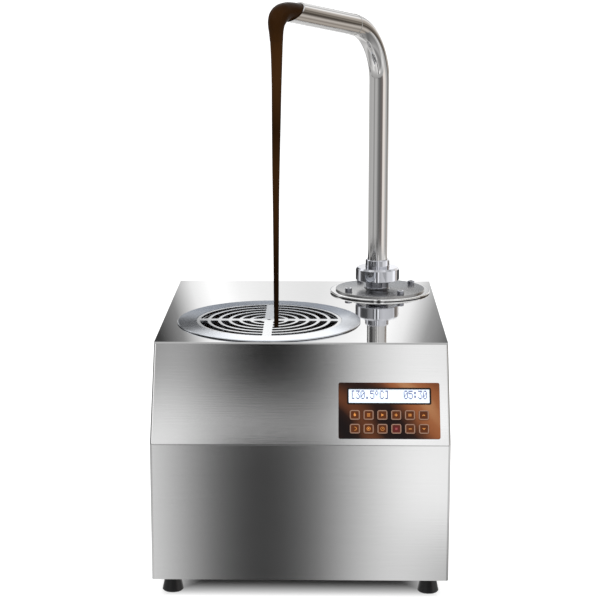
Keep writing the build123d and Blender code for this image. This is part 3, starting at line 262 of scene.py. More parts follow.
def moulded(name, color, roughness, grain, strength=0.15, metallic=0.0, **sockets):
    """Plastic, rubber, paint or casting with a fine grain and a little dust and wear."""
    wear_size = 12.0
    look = Look(name, color, roughness, metallic=metallic, **sockets)
    fine = look.noise(look.place, scale=grain)
    broad = look.noise(look.place, scale=grain / wear_size, detail=2.0)
    look.tone(broad, dark=0.85, light=1.18)
    look.gloss(broad, spread=0.08)
    look.bump(fine, strength, distance=0.3 * MM)
    return look.material


def paint(material, *names):
    """Gives nodes one material."""
    for name in names:
        slots = nodes[name].data.materials
        slots.clear()
        slots.append(material)


def paint_reflection_sides(material, name, foot):
    """Gives a node's upright faces above a height a second material; here a dark steel as painted reflection."""
    mesh = nodes[name].data
    mesh.materials.append(material)
    for polygon in mesh.polygons:
        if polygon.center.z > foot and abs(polygon.normal.z) < FACING:
            polygon.material_index = 1


def mesh_object(name, points, faces, material, smooth=False):
    """A new object from points and faces, with one material."""
    mesh = bpy.data.meshes.new(name)
    mesh.from_pydata([tuple(point) for point in points], [], faces)
    mesh.validate()
    solid = bmesh.new()
    solid.from_mesh(mesh)
    bmesh.ops.recalc_face_normals(solid, faces=solid.faces)
    solid.to_mesh(mesh)
    solid.free()
    mesh.polygons.foreach_set("use_smooth", [smooth] * len(mesh.polygons))
    if smooth:
        mesh.set_sharp_from_angle(angle=SHARP_ANGLE)
    mesh.materials.append(material)
    made = bpy.data.objects.new(name, mesh)
    scene.collection.objects.link(made)
    return made


def piece(name, points, faces, material, body, smooth=True):
    """A new mesh piece that rides on a body."""
    made = mesh_object(name, points, faces, material, smooth=smooth)
    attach(made, body)
    return made


def ring_points(center, along, radius, sides):
    """A ring of points around a direction."""
    second = along.cross(ACROSS).normalized()
    third = along.cross(second).normalized()
    turns = [2 * math.pi * i / sides for i in range(sides)]
    return [center + radius * (math.cos(turn) * second + math.sin(turn) * third) for turn in turns]


def ring_faces(first, second, count):
    """Quads between two rings, given by the places of their first points."""
    faces = []
    for i in range(count):
        j = (i + 1) % count
        faces.append((first + i, first + j, second + j, second + i))
    return faces


def add_skin(points, faces, rings, looped=False):
    """Adds a skin over rings of points, closed into a loop or by a cap at each end."""
    count = len(rings[0])
    start = len(points)
    last = start + (len(rings) - 1) * count
    for ring in rings:
        points.extend(ring)
    for first in range(start, last, count):
        faces.extend(ring_faces(first, first + count, count))
    if looped:
        faces.extend(ring_faces(last, start, count))
    else:
        faces.append(tuple(range(start, start + count)))
        faces.append(tuple(range(last, last + count)))


# Camera, at the place and with the lens that fit the photograph
eye = Vector((0.02634, -1.88078, 0.69004))
yaw = math.radians(-0.897)
pitch = math.radians(12.048)
forward = Vector((math.sin(yaw) * math.cos(pitch), math.cos(yaw) * math.cos(pitch), -math.sin(pitch)))
camera_data = bpy.data.cameras.new("camera")
camera_data.lens = 99.05
camera_data.sensor_width = 36.0
camera = bpy.data.objects.new("camera", camera_data)
camera.location = eye
camera.rotation_euler = forward.to_track_quat("-Z", "Y").to_euler()
scene.collection.objects.link(camera)
scene.camera = camera

# World: white where the camera, a mirror or a glass sees it, a plain soft light for the rest
world = bpy.data.worlds.new("studio")
scene.world = world
world.use_nodes = True
tree = world.node_tree
backdrop = tree.nodes["Background"]
rays = tree.nodes.new("ShaderNodeLightPath")
seen = rays.outputs["Is Camera Ray"]
for kind in ("Is Glossy Ray", "Is Transmission Ray"):
    either = tree.nodes.new("ShaderNodeMath")
    either.operation = "MAXIMUM"
    tree.links.new(seen, either.inputs[0])
    tree.links.new(rays.outputs[kind], either.inputs[1])
    seen = either.outputs[0]
level = tree.nodes.new("ShaderNodeMapRange")
level.inputs["To Min"].default_value = 0.5
level.inputs["To Max"].default_value = 1.0
tree.links.new(seen, level.inputs["Value"])
tree.links.new(level.outputs["Result"], backdrop.inputs["Strength"])
backdrop.inputs["Color"].default_value = WHITE


def lamp(name, place, target, size, power):
    """A round soft lamp that mirrors don't show."""
    data = bpy.data.lights.new(name, "AREA")
    data.shape = "DISK"
    data.size = size
    data.energy = power
    made = bpy.data.objects.new(name, data)
    made.location = place
    made.rotation_euler = (Vector(target) - Vector(place)).to_track_quat("-Z", "Y").to_euler()
    made.visible_glossy = False
    scene.collection.objects.link(made)


casing_middle = (0.0, 0.0, 0.25)
casing_foot = (0.0, 0.0, 0.0)
lamp("key_lamp", place=(-1.2, -1.6, 2.2), target=casing_middle, size=1.2, power=26.0)
lamp("fill_lamp", place=(1.6, -1.2, 1.6), target=casing_middle, size=1.2, power=16.0)
lamp("top_lamp", place=(0.0, 0.3, 2.6), target=casing_foot, size=1.6, power=24.0)

# Floor: white around the object and shaded under it; mirrors see through it to the cards below
shade_start = -52.0 * MM
shade_end = 11.0 * MM
floor_reach = 30.0
floor_look = Look("pale_floor", (0.38, 0.38, 0.38), 0.9)
floor_x, floor_y, _ = floor_look.split(floor_look.place)
shell_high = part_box("body_shell")[1]
beyond_x = floor_look.math("SUBTRACT", floor_look.math("ABSOLUTE", floor_x), shell_high.x)
beyond_y = floor_look.math("SUBTRACT", floor_look.math("ABSOLUTE", floor_y), shell_high.y)
beyond = floor_look.math("MAXIMUM", beyond_x, beyond_y)
# Painted shadow: the glow fades out across the object's edge, so the floor darkens towards and under it with its
# real shade
glow = floor_look.range(beyond, 0.0, 1.0, start=shade_start, end=shade_end, smooth=True)
paths = floor_look.add("ShaderNodeLightPath")
floor_look.set(Emission_Color=WHITE)
floor_look.feed(floor_look.math("MULTIPLY", glow, paths.outputs["Is Camera Ray"]), "Emission Strength")
floor_look.gloss(floor_look.noise(floor_look.place, scale=3.0), spread=0.05)
undiffused = floor_look.math("LESS_THAN", paths.outputs["Diffuse Depth"], 0.5)
mirrored = floor_look.math("MULTIPLY", paths.outputs["Is Glossy Ray"], undiffused)
see_through = floor_look.add("ShaderNodeMixShader")
floor_look.join(mirrored, see_through, 0)
floor_look.join(floor_look.shader.outputs[0], see_through, 1)
floor_look.join(floor_look.add("ShaderNodeBsdfTransparent").outputs[0], see_through, 2)
floor_look.join(see_through.outputs[0], floor_look.nodes["Material Output"], "Surface")
corner_signs = ((-1, -1), (1, -1), (1, 1), (-1, 1))
corners = [(x * floor_reach, y * floor_reach, 0.0) for x, y in corner_signs]
mesh_object("floor", corners, [(0, 1, 2, 3)], floor_look.material)


# Studio cards: tones that only mirrors see, at angles in degrees, 0 at the front and positive to the right
def card_look(name):
    """A black surface that only glows."""
    look = Look(name, (0.0, 0.0, 0.0), 1.0, Specular_IOR_Level=0.0, Emission_Strength=1.0)
    look.material.cycles.emission_sampling = "NONE"
    return look


def bearing(angle):
    """An angle as a share of the round, from the back by the left, the front and the right."""
    return (angle + 180.0) / 360.0


def around(look):
    """The bearing of each point of a screen."""
    node = look.add("ShaderNodeTexGradient", gradient_type="RADIAL")
    look.join(look.mapped((1.0, 1.0, 1.0), turn=(0.0, 0.0, math.pi / 2)), node, "Vector")
    return node.outputs["Fac"]


def drawn_in(look, turn, low, high, start, end):
    """A bearing drawn in from both sides behind the object, by low to high degrees between two heights."""
    side = look.math("SIGN", look.math("SUBTRACT", bearing(0.0), turn))
    amount = look.range(look.height(), low / 360.0, high / 360.0, start=start, end=end)
    return look.math("ADD", turn, look.math("MULTIPLY", side, amount))


def cards(name, *stops, drawing=None):
    """A glow that changes with the angle, and its tone."""
    look = card_look(name)
    turn = around(look)
    if drawing:
        turn = drawn_in(look, turn, **drawing)
    tone = look.ramp(turn, [(bearing(angle), tone) for angle, tone in stops])
    look.feed(tone, "Emission Color")
    return look, tone


BACK_EDGE = 166.0
BACK_CORE = 172.0


def back_cards(name, inner, outer):
    """A patch behind the object that fades from its core to its edge at both sides."""
    look, _ = cards(
        name, (-180, inner), (-BACK_CORE, inner), (-BACK_EDGE, outer),
        (BACK_EDGE, outer), (BACK_CORE, inner), (180, inner),
    )
    return look


def rising_cards(name, low, high, *stops):
    """A glow that changes between two heights."""
    look = card_look(name)
    rise = look.range(look.height(), 0.0, 1.0, start=low, end=high)
    look.feed(look.ramp(rise, stops), "Emission Color")
    return look


# The lower front mirrors a dark card in the middle, and a dim corner low at the right
front_cards, front_tone = cards(
    "front_cards", (-180, 0.95), (-165, 0.55), (-140, 0.75), (-112, 0.35), (-88, 0.6), (-62, 0.95),
    (-40, 0.6), (-20, 0.8), (-11, 1.05), (-8.9, 0.77), (-6.2, 0.2), (-4.6, 0.08), (-3.2, 0.045), (-2, 0.045),
    (0, 0.17), (2.3, 0.56), (5, 1.12), (7, 1.15), (9, 1.05), (20, 0.75), (45, 0.5), (66, 0.95), (90, 0.6),
    (112, 0.35), (140, 0.75), (165, 0.55), (180, 0.95),
)
front_side, _, front_height = front_cards.split(front_cards.place)
corner_side = front_cards.range(front_side, 0.0, 0.5, start=0.1, end=0.4, smooth=True)
corner_low = front_cards.range(front_height, 1.0, 0.0, start=-0.95, end=-0.72, smooth=True)
corner_shade = front_cards.math("SUBTRACT", 1.0, front_cards.math("MULTIPLY", corner_side, corner_low))
front_cards.feed(front_cards.blend(1.0, front_tone, corner_shade, mode="MULTIPLY"), "Emission Color")

# The union, the riser and the top plate mirror one band each, the top plate with bright edges behind
union_cards, _ = cards(
    "union_cards", (-180, 0.3), (-150, 0.05), (-122, 0.04), (-111, 0.85), (-102, 0.05), (-76, 0.1),
    (-55, 0.26), (-40, 0.3), (-22, 0.34), (-14, 0.02), (-4, 0.02), (6, 0.3), (20, 0.4), (45, 0.55),
    (60, 0.75), (84, 0.8), (96, 1.2), (112, 1.0), (124, 0.08), (150, 0.03), (180, 0.3),
)
tube_cards, _ = cards(
    "tube_cards", (-180, 1.0), (-158, 0.9), (-140, 0.5), (-104, 0.5), (-72, 0.55), (-60, 0.34), (-52, 0.36),
    (-44, 0.56), (-24, 0.5), (-8, 0.26), (8, 0.15), (40, (0.2, 0.17, 0.16)), (52, (1.0, 0.94, 0.9)),
    (72, (0.95, 0.9, 0.86)), (86, 0.55), (112, 0.36), (124, 0.4), (140, 0.7), (158, 0.9), (180, 1.0),
)
middle_cards, middle_tone = cards(
    "middle_cards", (-180, 0.85), (-176.5, 0.93), (-175.3, 1.03), (-174.4, 1.18), (-173.5, 1.18),
    (-171.7, 0.28), (-170.1, 0.04), (-150, 0.06), (-128, 0.2), (-114, 0.95), (-101, 0.12), (-88, 0.07),
    (-60, 0.08), (-50, 0.2), (-28, 0.3), (-16, 0.12), (9, 0.2), (17, 0.6), (36, 0.7), (92, 0.6),
    (108, 0.85), (122, 0.4), (135, 0.1), (150, 0.08), (170.4, 0.1), (172.4, 0.18), (173.5, 0.5),
    (174.7, 1.06), (175.5, 1.15), (177, 1.0), (180, 0.85),
    drawing={"low": -0.5, "high": 0.58, "start": 0.775, "end": 0.955},
)
middle_fade = middle_cards.range(middle_cards.height(), 0.0, 0.85, start=1.35, end=1.9, smooth=True)
middle_cards.feed(middle_cards.blend(middle_fade, middle_tone, (0.7, 0.7, 0.7)), "Emission Color")

# The upper front mirrors a dark card too, with more light near the crease
slope_cards, slope_tone = cards(
    "slope_cards", (-180, 1.0), (-150, 0.8), (-112, 0.4), (-88, 0.6), (-62, 0.9), (-40, 0.6), (-22, 0.6),
    (-14, 0.26), (-10.8, 0.55), (-7.6, 0.17), (-5.6, 0.03), (-4.2, 0.0), (-2.6, 0.0), (0.3, 0.11),
    (3.5, 0.73), (6.7, 1.12), (9, 1.1), (14, 0.85), (22, 0.7), (45, 0.5), (66, 0.9), (90, 0.6), (112, 0.4),
    (150, 0.8), (180, 1.0),
)
slope_side, _, slope_height = slope_cards.split(slope_cards.place)
crease_fade = slope_cards.range(slope_height, 0.55, 0.0, start=3.0, end=3.45, smooth=True)
crease_side = slope_cards.range(slope_side, 1.0, 0.45, start=-0.2, end=0.1)
crease_light = slope_cards.math("MULTIPLY", crease_fade, crease_side)
slope_cards.feed(slope_cards.blend(1.0, slope_tone, crease_light, mode="ADD"), "Emission Color")

# The bend mirrors a soft fade at the front left, the rim a dusky patch and a bright one behind the object,
# and what faces straight up mirrors the ceiling
bend_low = -0.95
bend_high = -0.17
ceiling_low = 6.0
ceiling_high = 6.5
bend_cards = rising_cards("bend_cards", bend_low, bend_high, (0.0, 0.7), (0.5, 0.5), (1.0, 0.42))
dusk_cards = back_cards("dusk_cards", inner=(0.26, 0.29, 0.34), outer=0.85)
glare_cards = back_cards("glare_cards", inner=1.4, outer=0.6)
ceiling_cards = rising_cards("ceiling_cards", ceiling_low, ceiling_high, (0.0, 0.9), (0.6, 0.55), (1.0, 0.8))


# The arm mirrors warm streaks at the right and behind, which run out from its own middle line
def warm(tone):
    """The colour of a streak: the darker, the warmer."""
    paleness = min(tone, 1.0)
    return (tone, tone * (0.85 + 0.12 * paleness), tone * (0.69 + 0.26 * paleness))


WARM_STREAKS = (
    (0.11, 0.28), (0.19, 0.48), (0.26, 0.48), (0.32, 0.28), (0.43, 0.65), (0.49, 0.1),
    (0.52, 0.08), (0.56, 0.26), (0.6, 0.16), (0.65, 0.47), (0.7, 0.45), (0.77, 0.85),
)
streaks = [(0.0, 0.75), (0.05, 0.57)]
streaks += [(place, warm(tone)) for place, tone in WARM_STREAKS]
streaks += [(0.81, 1.2), (0.87, 0.5), (0.93, 0.95), (1.0, 0.8)]
streak_middle = 0.5
streak_slope = 0.25
arm_cards = card_look("arm_cards")
arm_turn = arm_cards.range(around(arm_cards), 0.0, 1.0, start=bearing(116.0), end=bearing(176.0))
arm_offset = arm_cards.math("SUBTRACT", arm_cards.height(), streak_middle)
arm_rise = arm_cards.math("MULTIPLY", arm_cards.math("ABSOLUTE", arm_offset), streak_slope)
arm_spread = arm_cards.math("ADD", arm_turn, arm_rise)
arm_streak = arm_cards.math("MULTIPLY", arm_spread, arm_cards.math("SIGN", arm_offset))
arm_place = arm_cards.range(arm_streak, 0.0, 1.0, start=-1.3, end=1.2)
arm_cards.feed(arm_cards.ramp(arm_place, streaks), "Emission Color")


# Screens that carry the cards: round walls about the object, one above the other, and nearer stretches
def screen(name, look, low, high, radius=2.7, start=-180.0, end=180.0, steps=180, narrowing=1.0):
    """A stretch of a round wall between two heights and two angles, narrowing to its upper edge."""
    points = []
    for z, reach in ((low, radius), (high, radius * narrowing)):
        for i in range(steps + 1):
            turn = math.radians(start + (end - start) * i / steps)
            points.append((reach * math.sin(turn), -reach * math.cos(turn), z))
    row = steps + 1
    faces = [(i, i + 1, row + i + 1, row + i) for i in range(steps)]
    made = mesh_object(name, points, faces, look.material)
    made.visible_camera = False
    made.visible_diffuse = False
    made.visible_transmission = False
    made.visible_shadow = False


union_low = -0.33
tube_low = -0.165
middle_low = 0.7
slope_low = 2.2
bend_seam = -14.0
arm_seam = 105.0
arm_foot = -1.06
arm_head = 0.4
arm_top = 2.0
crease_reach = 2.65
near_reach = 2.6
back_reach = 2.58
back_end = 360.0 - BACK_EDGE
screen("low_screen", front_cards, -8.0, union_low)
screen("union_screen", union_cards, union_low, tube_low)
screen("tube_screen", tube_cards, tube_low, middle_low)
screen("middle_screen", middle_cards, middle_low, slope_low)
screen("high_screen", slope_cards, slope_low, ceiling_low)
screen("ceiling", ceiling_cards, ceiling_low, ceiling_high, narrowing=0.005)
screen("crease_screen", front_cards, 0.55, 3.0, crease_reach, start=-14.0, end=11.0, steps=25)
screen("dusk_screen", dusk_cards, 0.2, 0.68, back_reach, start=BACK_EDGE, end=back_end, steps=28)
screen("glare_screen", glare_cards, 1.25, slope_low, back_reach, start=BACK_EDGE, end=back_end, steps=28)
screen("bend_screen_left", bend_cards, bend_low, bend_high, near_reach, start=-110.0, end=bend_seam, steps=48)
screen("bend_screen_front", bend_cards, -0.48, bend_high, near_reach, start=bend_seam, end=50.0, steps=32)
screen("arm_screen_high", arm_cards, arm_head, arm_top, near_reach, start=arm_seam, end=169.0, steps=32)
screen("arm_screen_side", arm_cards, 1.05, arm_top, near_reach, start=60.0, end=arm_seam, steps=24)
screen("arm_screen_middle", arm_cards, arm_foot, arm_head, near_reach, start=110.0, end=127.0, steps=17)
screen("arm_screen_low", arm_cards, -1.9, arm_foot, near_reach, start=118.0, end=174.0, steps=32)

# Steel of the casing, the tank, the pump, the spout and the fasteners
tank_center = middle("tank")
cover_center = middle("cover_flange")
neck_rise = 3.0 * MM
neck_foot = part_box("cover_flange")[0].z + neck_rise
casing = brushed("casing_steel", (0.75, 0.75, 0.75), 0.08, lines=(18.0, 18.0, 1700.0), spread=0.02)
pan_steel = brushed("pan_steel", (0.66, 0.66, 0.66), 0.3, lines=(900.0, 14.0, 900.0), spread=0.08)
mirror = polished("top_steel", (0.88, 0.88, 0.88), 0.045, spread=0.015, waviness=0.012)
bright = polished("polished_steel", (0.78, 0.77, 0.76), 0.06)
barrel = polished("barrel_steel", (0.95, 0.95, 0.95), 0.06)
union = polished("union_steel", (0.78, 0.79, 0.84), 0.05, spread=0.02, waviness=0.02)
# Painted reflection: a dark copy of the polished steel for the upright sides of the neck and cover screws
dark_reflection_steel = polished("painted_dark_reflection_steel", (0.36, 0.37, 0.41), 0.05, spread=0.02, waviness=0.02)
rim = turned("rim_steel", (0.74, 0.77, 0.82), 0.2, tank_center, anisotropy=0.5, slope=0.12)
grille_steel = turned("grille_steel", (0.84, 0.85, 0.86), 0.2, tank_center, anisotropy=0.5, slope=0.045)
cover_steel = turned("cover_steel", (0.46, 0.46, 0.46), 0.27, cover_center, anisotropy=0.4, slope=0.06)
zinc = polished("fastener_steel", (0.7, 0.7, 0.7), 0.16, spread=0.06, waviness=0.15)
machined = brushed("machined_steel", (0.55, 0.55, 0.55), 0.3, lines=(40.0, 40.0, 1500.0), spread=0.08)
paint(casing, "body_shell", "rear_panel")
paint(pan_steel, "base_pan")
paint(mirror, "top_plate")
paint(rim, "tank")
paint(grille_steel, "grille")
paint(cover_steel, "cover_flange")
# The neck's upright sides get the dark steel, a painted dark reflection
paint_reflection_sides(dark_reflection_steel, "cover_flange", neck_foot)
paint(bright, "spout_riser", "spout_arm", "transfer_pipe", "auger", "stirrer")
paint(barrel, "pump_barrel")
paint(union, "union_nut", "spout_ferrule", "cover_screws")
# The cover screws' upright sides get the dark steel too, a painted dark reflection
paint_reflection_sides(dark_reflection_steel, "cover_screws", neck_foot)
paint(zinc, "casing_screws", "foot_locknuts", *[f"foot_stud_{foot}" for foot in FEET])
paint(machined, "temperature_probe", "shaft_coupling", "gearbox_shaft", "motor_bracket")

# Rubber, plastics and the pieces inside
rubber = moulded("foot_rubber", (0.006, 0.006, 0.007), 0.3, 900.0, strength=0.12)
seal = moulded("gasket_rubber", (0.022, 0.022, 0.023), 0.5, 700.0)
module = moulded("module_plastic", (0.04, 0.04, 0.042), 0.45, 800.0)
laminate = moulded("board_laminate", (0.02, 0.17, 0.06), 0.35, 500.0, Coat_Weight=0.4)
silicone = moulded("heater_silicone", (0.5, 0.1, 0.045), 0.5, 350.0, strength=0.4)
felt = moulded("insulation_felt", (0.52, 0.51, 0.47), 0.95, 450.0, strength=0.9, Sheen_Weight=0.3)
bronze = moulded("bush_bronze", (0.6, 0.4, 0.19), 0.32, 600.0, metallic=1.0)
gland = moulded("gland_plastic", (0.82, 0.82, 0.79), 0.4, 600.0)
alloy = moulded("gearbox_alloy", (0.6, 0.6, 0.61), 0.45, 500.0, strength=0.35, metallic=1.0)
enamel = moulded("motor_paint", (0.045, 0.046, 0.052), 0.42, 700.0, strength=0.3)
sheet_alloy = brushed("supply_alloy", (0.68, 0.68, 0.69), 0.34, lines=(30.0, 700.0, 700.0), spread=0.07)
inlet = moulded("inlet_plastic", (0.03, 0.03, 0.031), 0.42, 900.0, strength=0.2)
rocker = moulded("rocker_plastic", (0.035, 0.035, 0.036), 0.28, 900.0, strength=0.08)
sheath = moulded("lead_sheath", (0.05, 0.05, 0.052), 0.5, 800.0)
paint(rubber, *[f"foot_pad_{foot}" for foot in FEET])
paint(seal, "tank_gasket", "barrel_gasket", "spout_gasket")
paint(module, "display_module")
paint(laminate, "control_board")
paint(silicone, "heater_mat")
paint(felt, "tank_insulation")
paint(bronze, "auger_bush")
paint(gland, "stirrer_gland")
paint(alloy, "pump_gearbox")
paint(enamel, "pump_motor", "stirrer_motor")
paint(sheet_alloy, "power_supply")
paint(inlet, "power_inlet")
paint(rocker, "mains_rocker")
paint(sheath, "wiring")

# Panel axes, from the way the keys travel
press = next(joint for joint in frame["joints"] if joint["name"] == "key_1_press")
out = -Vector(press["axis"]).normalized()
right = ACROSS
up = Vector((0.0, out.z, -out.y))
PANEL = (right, up, out)


def face_center(name):
    """Middle of a node's outer face on the panel."""
    spot = Vector((0.0, 0.0, 0.0))
    for axis in (right, up):
        low, high = extent(name, axis)
        spot += axis * (low + high) / 2
    return spot + out * extent(name, out)[1]


def prism(points, faces, outline, base, lift, axes=PANEL):
    """Adds a flat closed plate with the given outline, lifted along the third axis."""
    start = len(points)
    count = len(outline)
    for rise in (0.0, lift):
        for x, y in outline:
            points.append(base + axes[0] * x + axes[1] * y + axes[2] * rise)
    faces.append(tuple(start + i for i in reversed(range(count))))
    faces.append(tuple(start + count + i for i in range(count)))
    faces.extend(ring_faces(start, start + count, count))


def hoop(points, faces, outer, inner, base, lift):
    """Adds a flat closed frame between two outlines with the same number of points."""
    rings = []
    for outline, rise in ((outer, 0.0), (outer, lift), (inner, lift), (inner, 0.0)):
        rings.append([base + right * x + up * y + out * rise for x, y in outline])
    add_skin(points, faces, rings, looped=True)


def bar(x0, y0, x1, y1):
    """Outline of a rectangle between two corners."""
    return [(x1, y1), (x0, y1), (x0, y0), (x1, y0)]


def rounded(width, height, radius):
    """Outline of a rectangle with round corners."""
    steps = 6
    outline = []
    for corner, (sx, sy) in enumerate(((1, 1), (-1, 1), (-1, -1), (1, -1))):
        for i in range(steps + 1):
            turn = math.pi / 2 * (corner + i / steps)
            x = sx * (width / 2 - radius) + radius * math.cos(turn)
            y = sy * (height / 2 - radius) + radius * math.sin(turn)
            outline.append((x, y))
    return outline


def circle(radius):
    """Outline of a circle."""
    count = 28
    turns = [2 * math.pi * i / count for i in range(count)]
    return [(radius * math.cos(turn), radius * math.sin(turn)) for turn in turns]


# Overlay: a printed film with soft folds in browns, dark at the lower left and copper at the right
film = Look("overlay_print", (0.2, 0.08, 0.03), 0.35, Specular_IOR_Level=0.15)
panel_middle = tuple(middle("panel_overlay"))
panel_turn = (math.atan2(up.z, up.y), 0.0, 0.0)
local = film.mapped((1.0, 1.0, 1.0), location=panel_middle, turn=panel_turn, kind="TEXTURE")
folds = film.add("ShaderNodeTexWave", wave_type="BANDS", bands_direction="DIAGONAL", wave_profile="SIN")
film.join(local, folds, "Vector")
folds.inputs["Scale"].default_value = 9.0
folds.inputs["Distortion"].default_value = 5.0
folds.inputs["Detail"].default_value = 1.5
folds.inputs["Detail Scale"].default_value = 0.8
panel_x, panel_y, _ = film.split(local)
slant = film.math("ADD", panel_x, film.math("MULTIPLY", panel_y, 1.1))
light_side = film.range(slant, 0.0, 1.0, start=-35.0 * MM, end=60.0 * MM, smooth=True)
fold_part = film.math("MULTIPLY", folds.outputs["Fac"], 0.45)
light_part = film.math("MULTIPLY", light_side, 0.55)
browns = film.ramp(film.math("ADD", fold_part, light_part), [
    (0.0, (0.006, 0.003, 0.003)), (0.22, (0.016, 0.006, 0.004)), (0.45, (0.1, 0.032, 0.013)),
    (0.7, (0.25, 0.08, 0.028)), (0.88, (0.3, 0.105, 0.04)), (1.0, (0.42, 0.2, 0.09)),
])
film.feed(browns, "Base Color")
film.gloss(film.noise(film.place, scale=900.0), spread=0.05)
paint(film.material, "panel_overlay")

# Display: lit face, dark frame and a reading drawn in dots
glass = Look("display_face", (0.62, 0.72, 0.86), 0.22, Emission_Color=(0.86, 0.93, 1.0, 1.0))
cells = glass.noise(glass.place, scale=60.0, detail=1.0)
glass.feed(glass.range(cells, low=0.42, high=0.5), "Emission Strength")
glass.tone(cells, dark=0.95, light=1.05)
paint(glass.material, "display_glass")
frame_ink = moulded(
    "display_frame_ink", (0.012, 0.007, 0.005), 0.4, 900.0, strength=0.05, Specular_IOR_Level=0.2,
)
display = face_center("display_glass")
film_top = extent("panel_overlay", out)[1]
window_low, window_high = extent("display_glass", right)
sill_low, sill_high = extent("display_glass", up)
window_trim_x = 0.2 * MM
window_trim_y = 0.6 * MM
window_width = window_high - window_low - window_trim_x
window_height = sill_high - sill_low - window_trim_y
window_corner = 0.5 * MM
frame_width = 1.8 * MM
frame_corner = 1.8 * MM
frame_lift = 0.18 * MM
frame_drop = 0.4 * MM
frame_base = display + out * (film_top - display.dot(out)) - up * frame_drop
frame_edge = rounded(window_width + 2 * frame_width, window_height + 2 * frame_width, frame_corner)
window_edge = rounded(window_width, window_height, window_corner)
points, faces = [], []
hoop(points, faces, frame_edge, window_edge, frame_base, frame_lift)
bezel = piece("display_frame", points, faces, frame_ink, "root")

GLYPHS = {
    "0": ("01110", "10001", "10011", "10101", "11001", "10001", "01110"),
    "3": ("11111", "00010", "00100", "00010", "00001", "10001", "01110"),
    "5": ("11111", "10000", "11110", "00001", "00001", "10001", "01110"),
    "C": ("01110", "10001", "10000", "10000", "10000", "10001", "01110"),
    "o": ("01100", "10010", "10010", "01100", "00000", "00000", "00000"),
    ".": ("00000", "00000", "00000", "00000", "00000", "01100", "01100"),
    ":": ("00000", "01100", "01100", "00000", "01100", "01100", "00000"),
    "[": ("01110", "01000", "01000", "01000", "01000", "01000", "01110"),
    "]": ("01110", "00010", "00010", "00010", "00010", "00010", "01110"),
}
READING = "[30.5oC]   05:30"
ink = moulded("display_dots", (0.03, 0.032, 0.2), 0.4, 900.0, strength=0.05)
cell_pitch = 5.14 * MM
dot_pitch_x = 0.9 * MM
dot_pitch_y = 1.38 * MM
dot_half_x = 0.4 * MM
dot_half_y = 0.63 * MM
dot_lift = 0.05 * MM
text_rise = 1.2 * MM
middle_cell = (len(READING) - 1) / 2
middle_step = 2
middle_row = 3
points, faces = [], []
for cell, letter in enumerate(READING):
    for row, dots in enumerate(GLYPHS.get(letter, ())):
        for step, dot in enumerate(dots):
            if dot == "1":
                x = (cell - middle_cell) * cell_pitch + (step - middle_step) * dot_pitch_x
                y = text_rise + (middle_row - row) * dot_pitch_y
                outline = bar(x - dot_half_x, y - dot_half_y, x + dot_half_x, y + dot_half_y)
                prism(points, faces, outline, display, dot_lift)
reading = piece("display_dots", points, faces, ink, "root", smooth=False)

# Keys: pale rim, brown dish and a plain sign each; the signs' outlines are in millimetres
key_rim = moulded("key_rim", (0.34, 0.2, 0.14), 0.4, 900.0, strength=0.08, Specular_IOR_Level=0.2)
key_dish = moulded("key_dish", (0.1, 0.027, 0.008), 0.35, 500.0, strength=0.05, Specular_IOR_Level=0.15)
key_red = moulded("key_dish_red", (0.1, 0.017, 0.014), 0.35, 500.0, strength=0.05, Specular_IOR_Level=0.15)
sign_ink = moulded("key_sign", (0.8, 0.3, 0.06), 0.4, 900.0, strength=0.05)
sign_red = moulded("key_sign_red", (0.3, 0.05, 0.06), 0.4, 900.0, strength=0.05)


def arc(radius, start, end, x=0.0, y=0.0):
    """Points on a round stretch between two angles in degrees."""
    steps = 18
    turns = [math.radians(start + (end - start) * i / steps) for i in range(steps + 1)]
    return [(x + radius * math.cos(turn), y + radius * math.sin(turn)) for turn in turns]


crescent = arc(2.0, -115, 115) + arc(1.6, 100, -100, x=-0.2)
drop = [(0.0, 2.6)] + arc(1.25, 150, 390, y=-0.2)
chevron = [(0.0, 0.9), (-1.7, -0.6), (-1.1, -1.1), (0.0, -0.1), (1.1, -1.1), (1.7, -0.6)]
plus = [
    (0.4, 1.6), (-0.4, 1.6), (-0.4, 0.4), (-1.6, 0.4), (-1.6, -0.4), (-0.4, -0.4),
    (-0.4, -1.6), (0.4, -1.6), (0.4, -0.4), (1.6, -0.4), (1.6, 0.4), (0.4, 0.4),
]
diamond = [(0.0, 1.0), (-1.0, 0.0), (0.0, -1.0), (1.0, 0.0)]
plates = {
    1: [drop],
    2: [bar(-1.7, 1.0, 1.7, 1.6), bar(-1.7, -0.3, 1.7, 0.3), bar(-1.7, -1.6, 1.7, -1.0)],
    3: [[(1.7, 0.0), (-1.1, 1.6), (-1.1, -1.6)]],
    4: [plus],
    5: [bar(-1.4, -1.5, -0.5, 1.5), bar(0.5, -1.5, 1.4, 1.5)],
    6: [chevron],
    7: [crescent],
    8: [diamond],
    9: [bar(-0.2, -0.2, 0.2, 1.3), bar(0.2, -0.2, 1.1, 0.2)],
    10: [bar(-1.2, -1.2, 1.2, 1.2)],
    11: [bar(-1.6, -0.4, 1.6, 0.4)],
    12: [[(-x, -y) for x, y in chevron]],
}
hoops = {8: (2.1, 1.6), 9: (2.1, 1.7)}
red_key = 10
sign_lift = 0.06 * MM
rim_width = 0.95 * MM
crown_depth = 0.3 * MM
dish_depth = 0.5 * MM
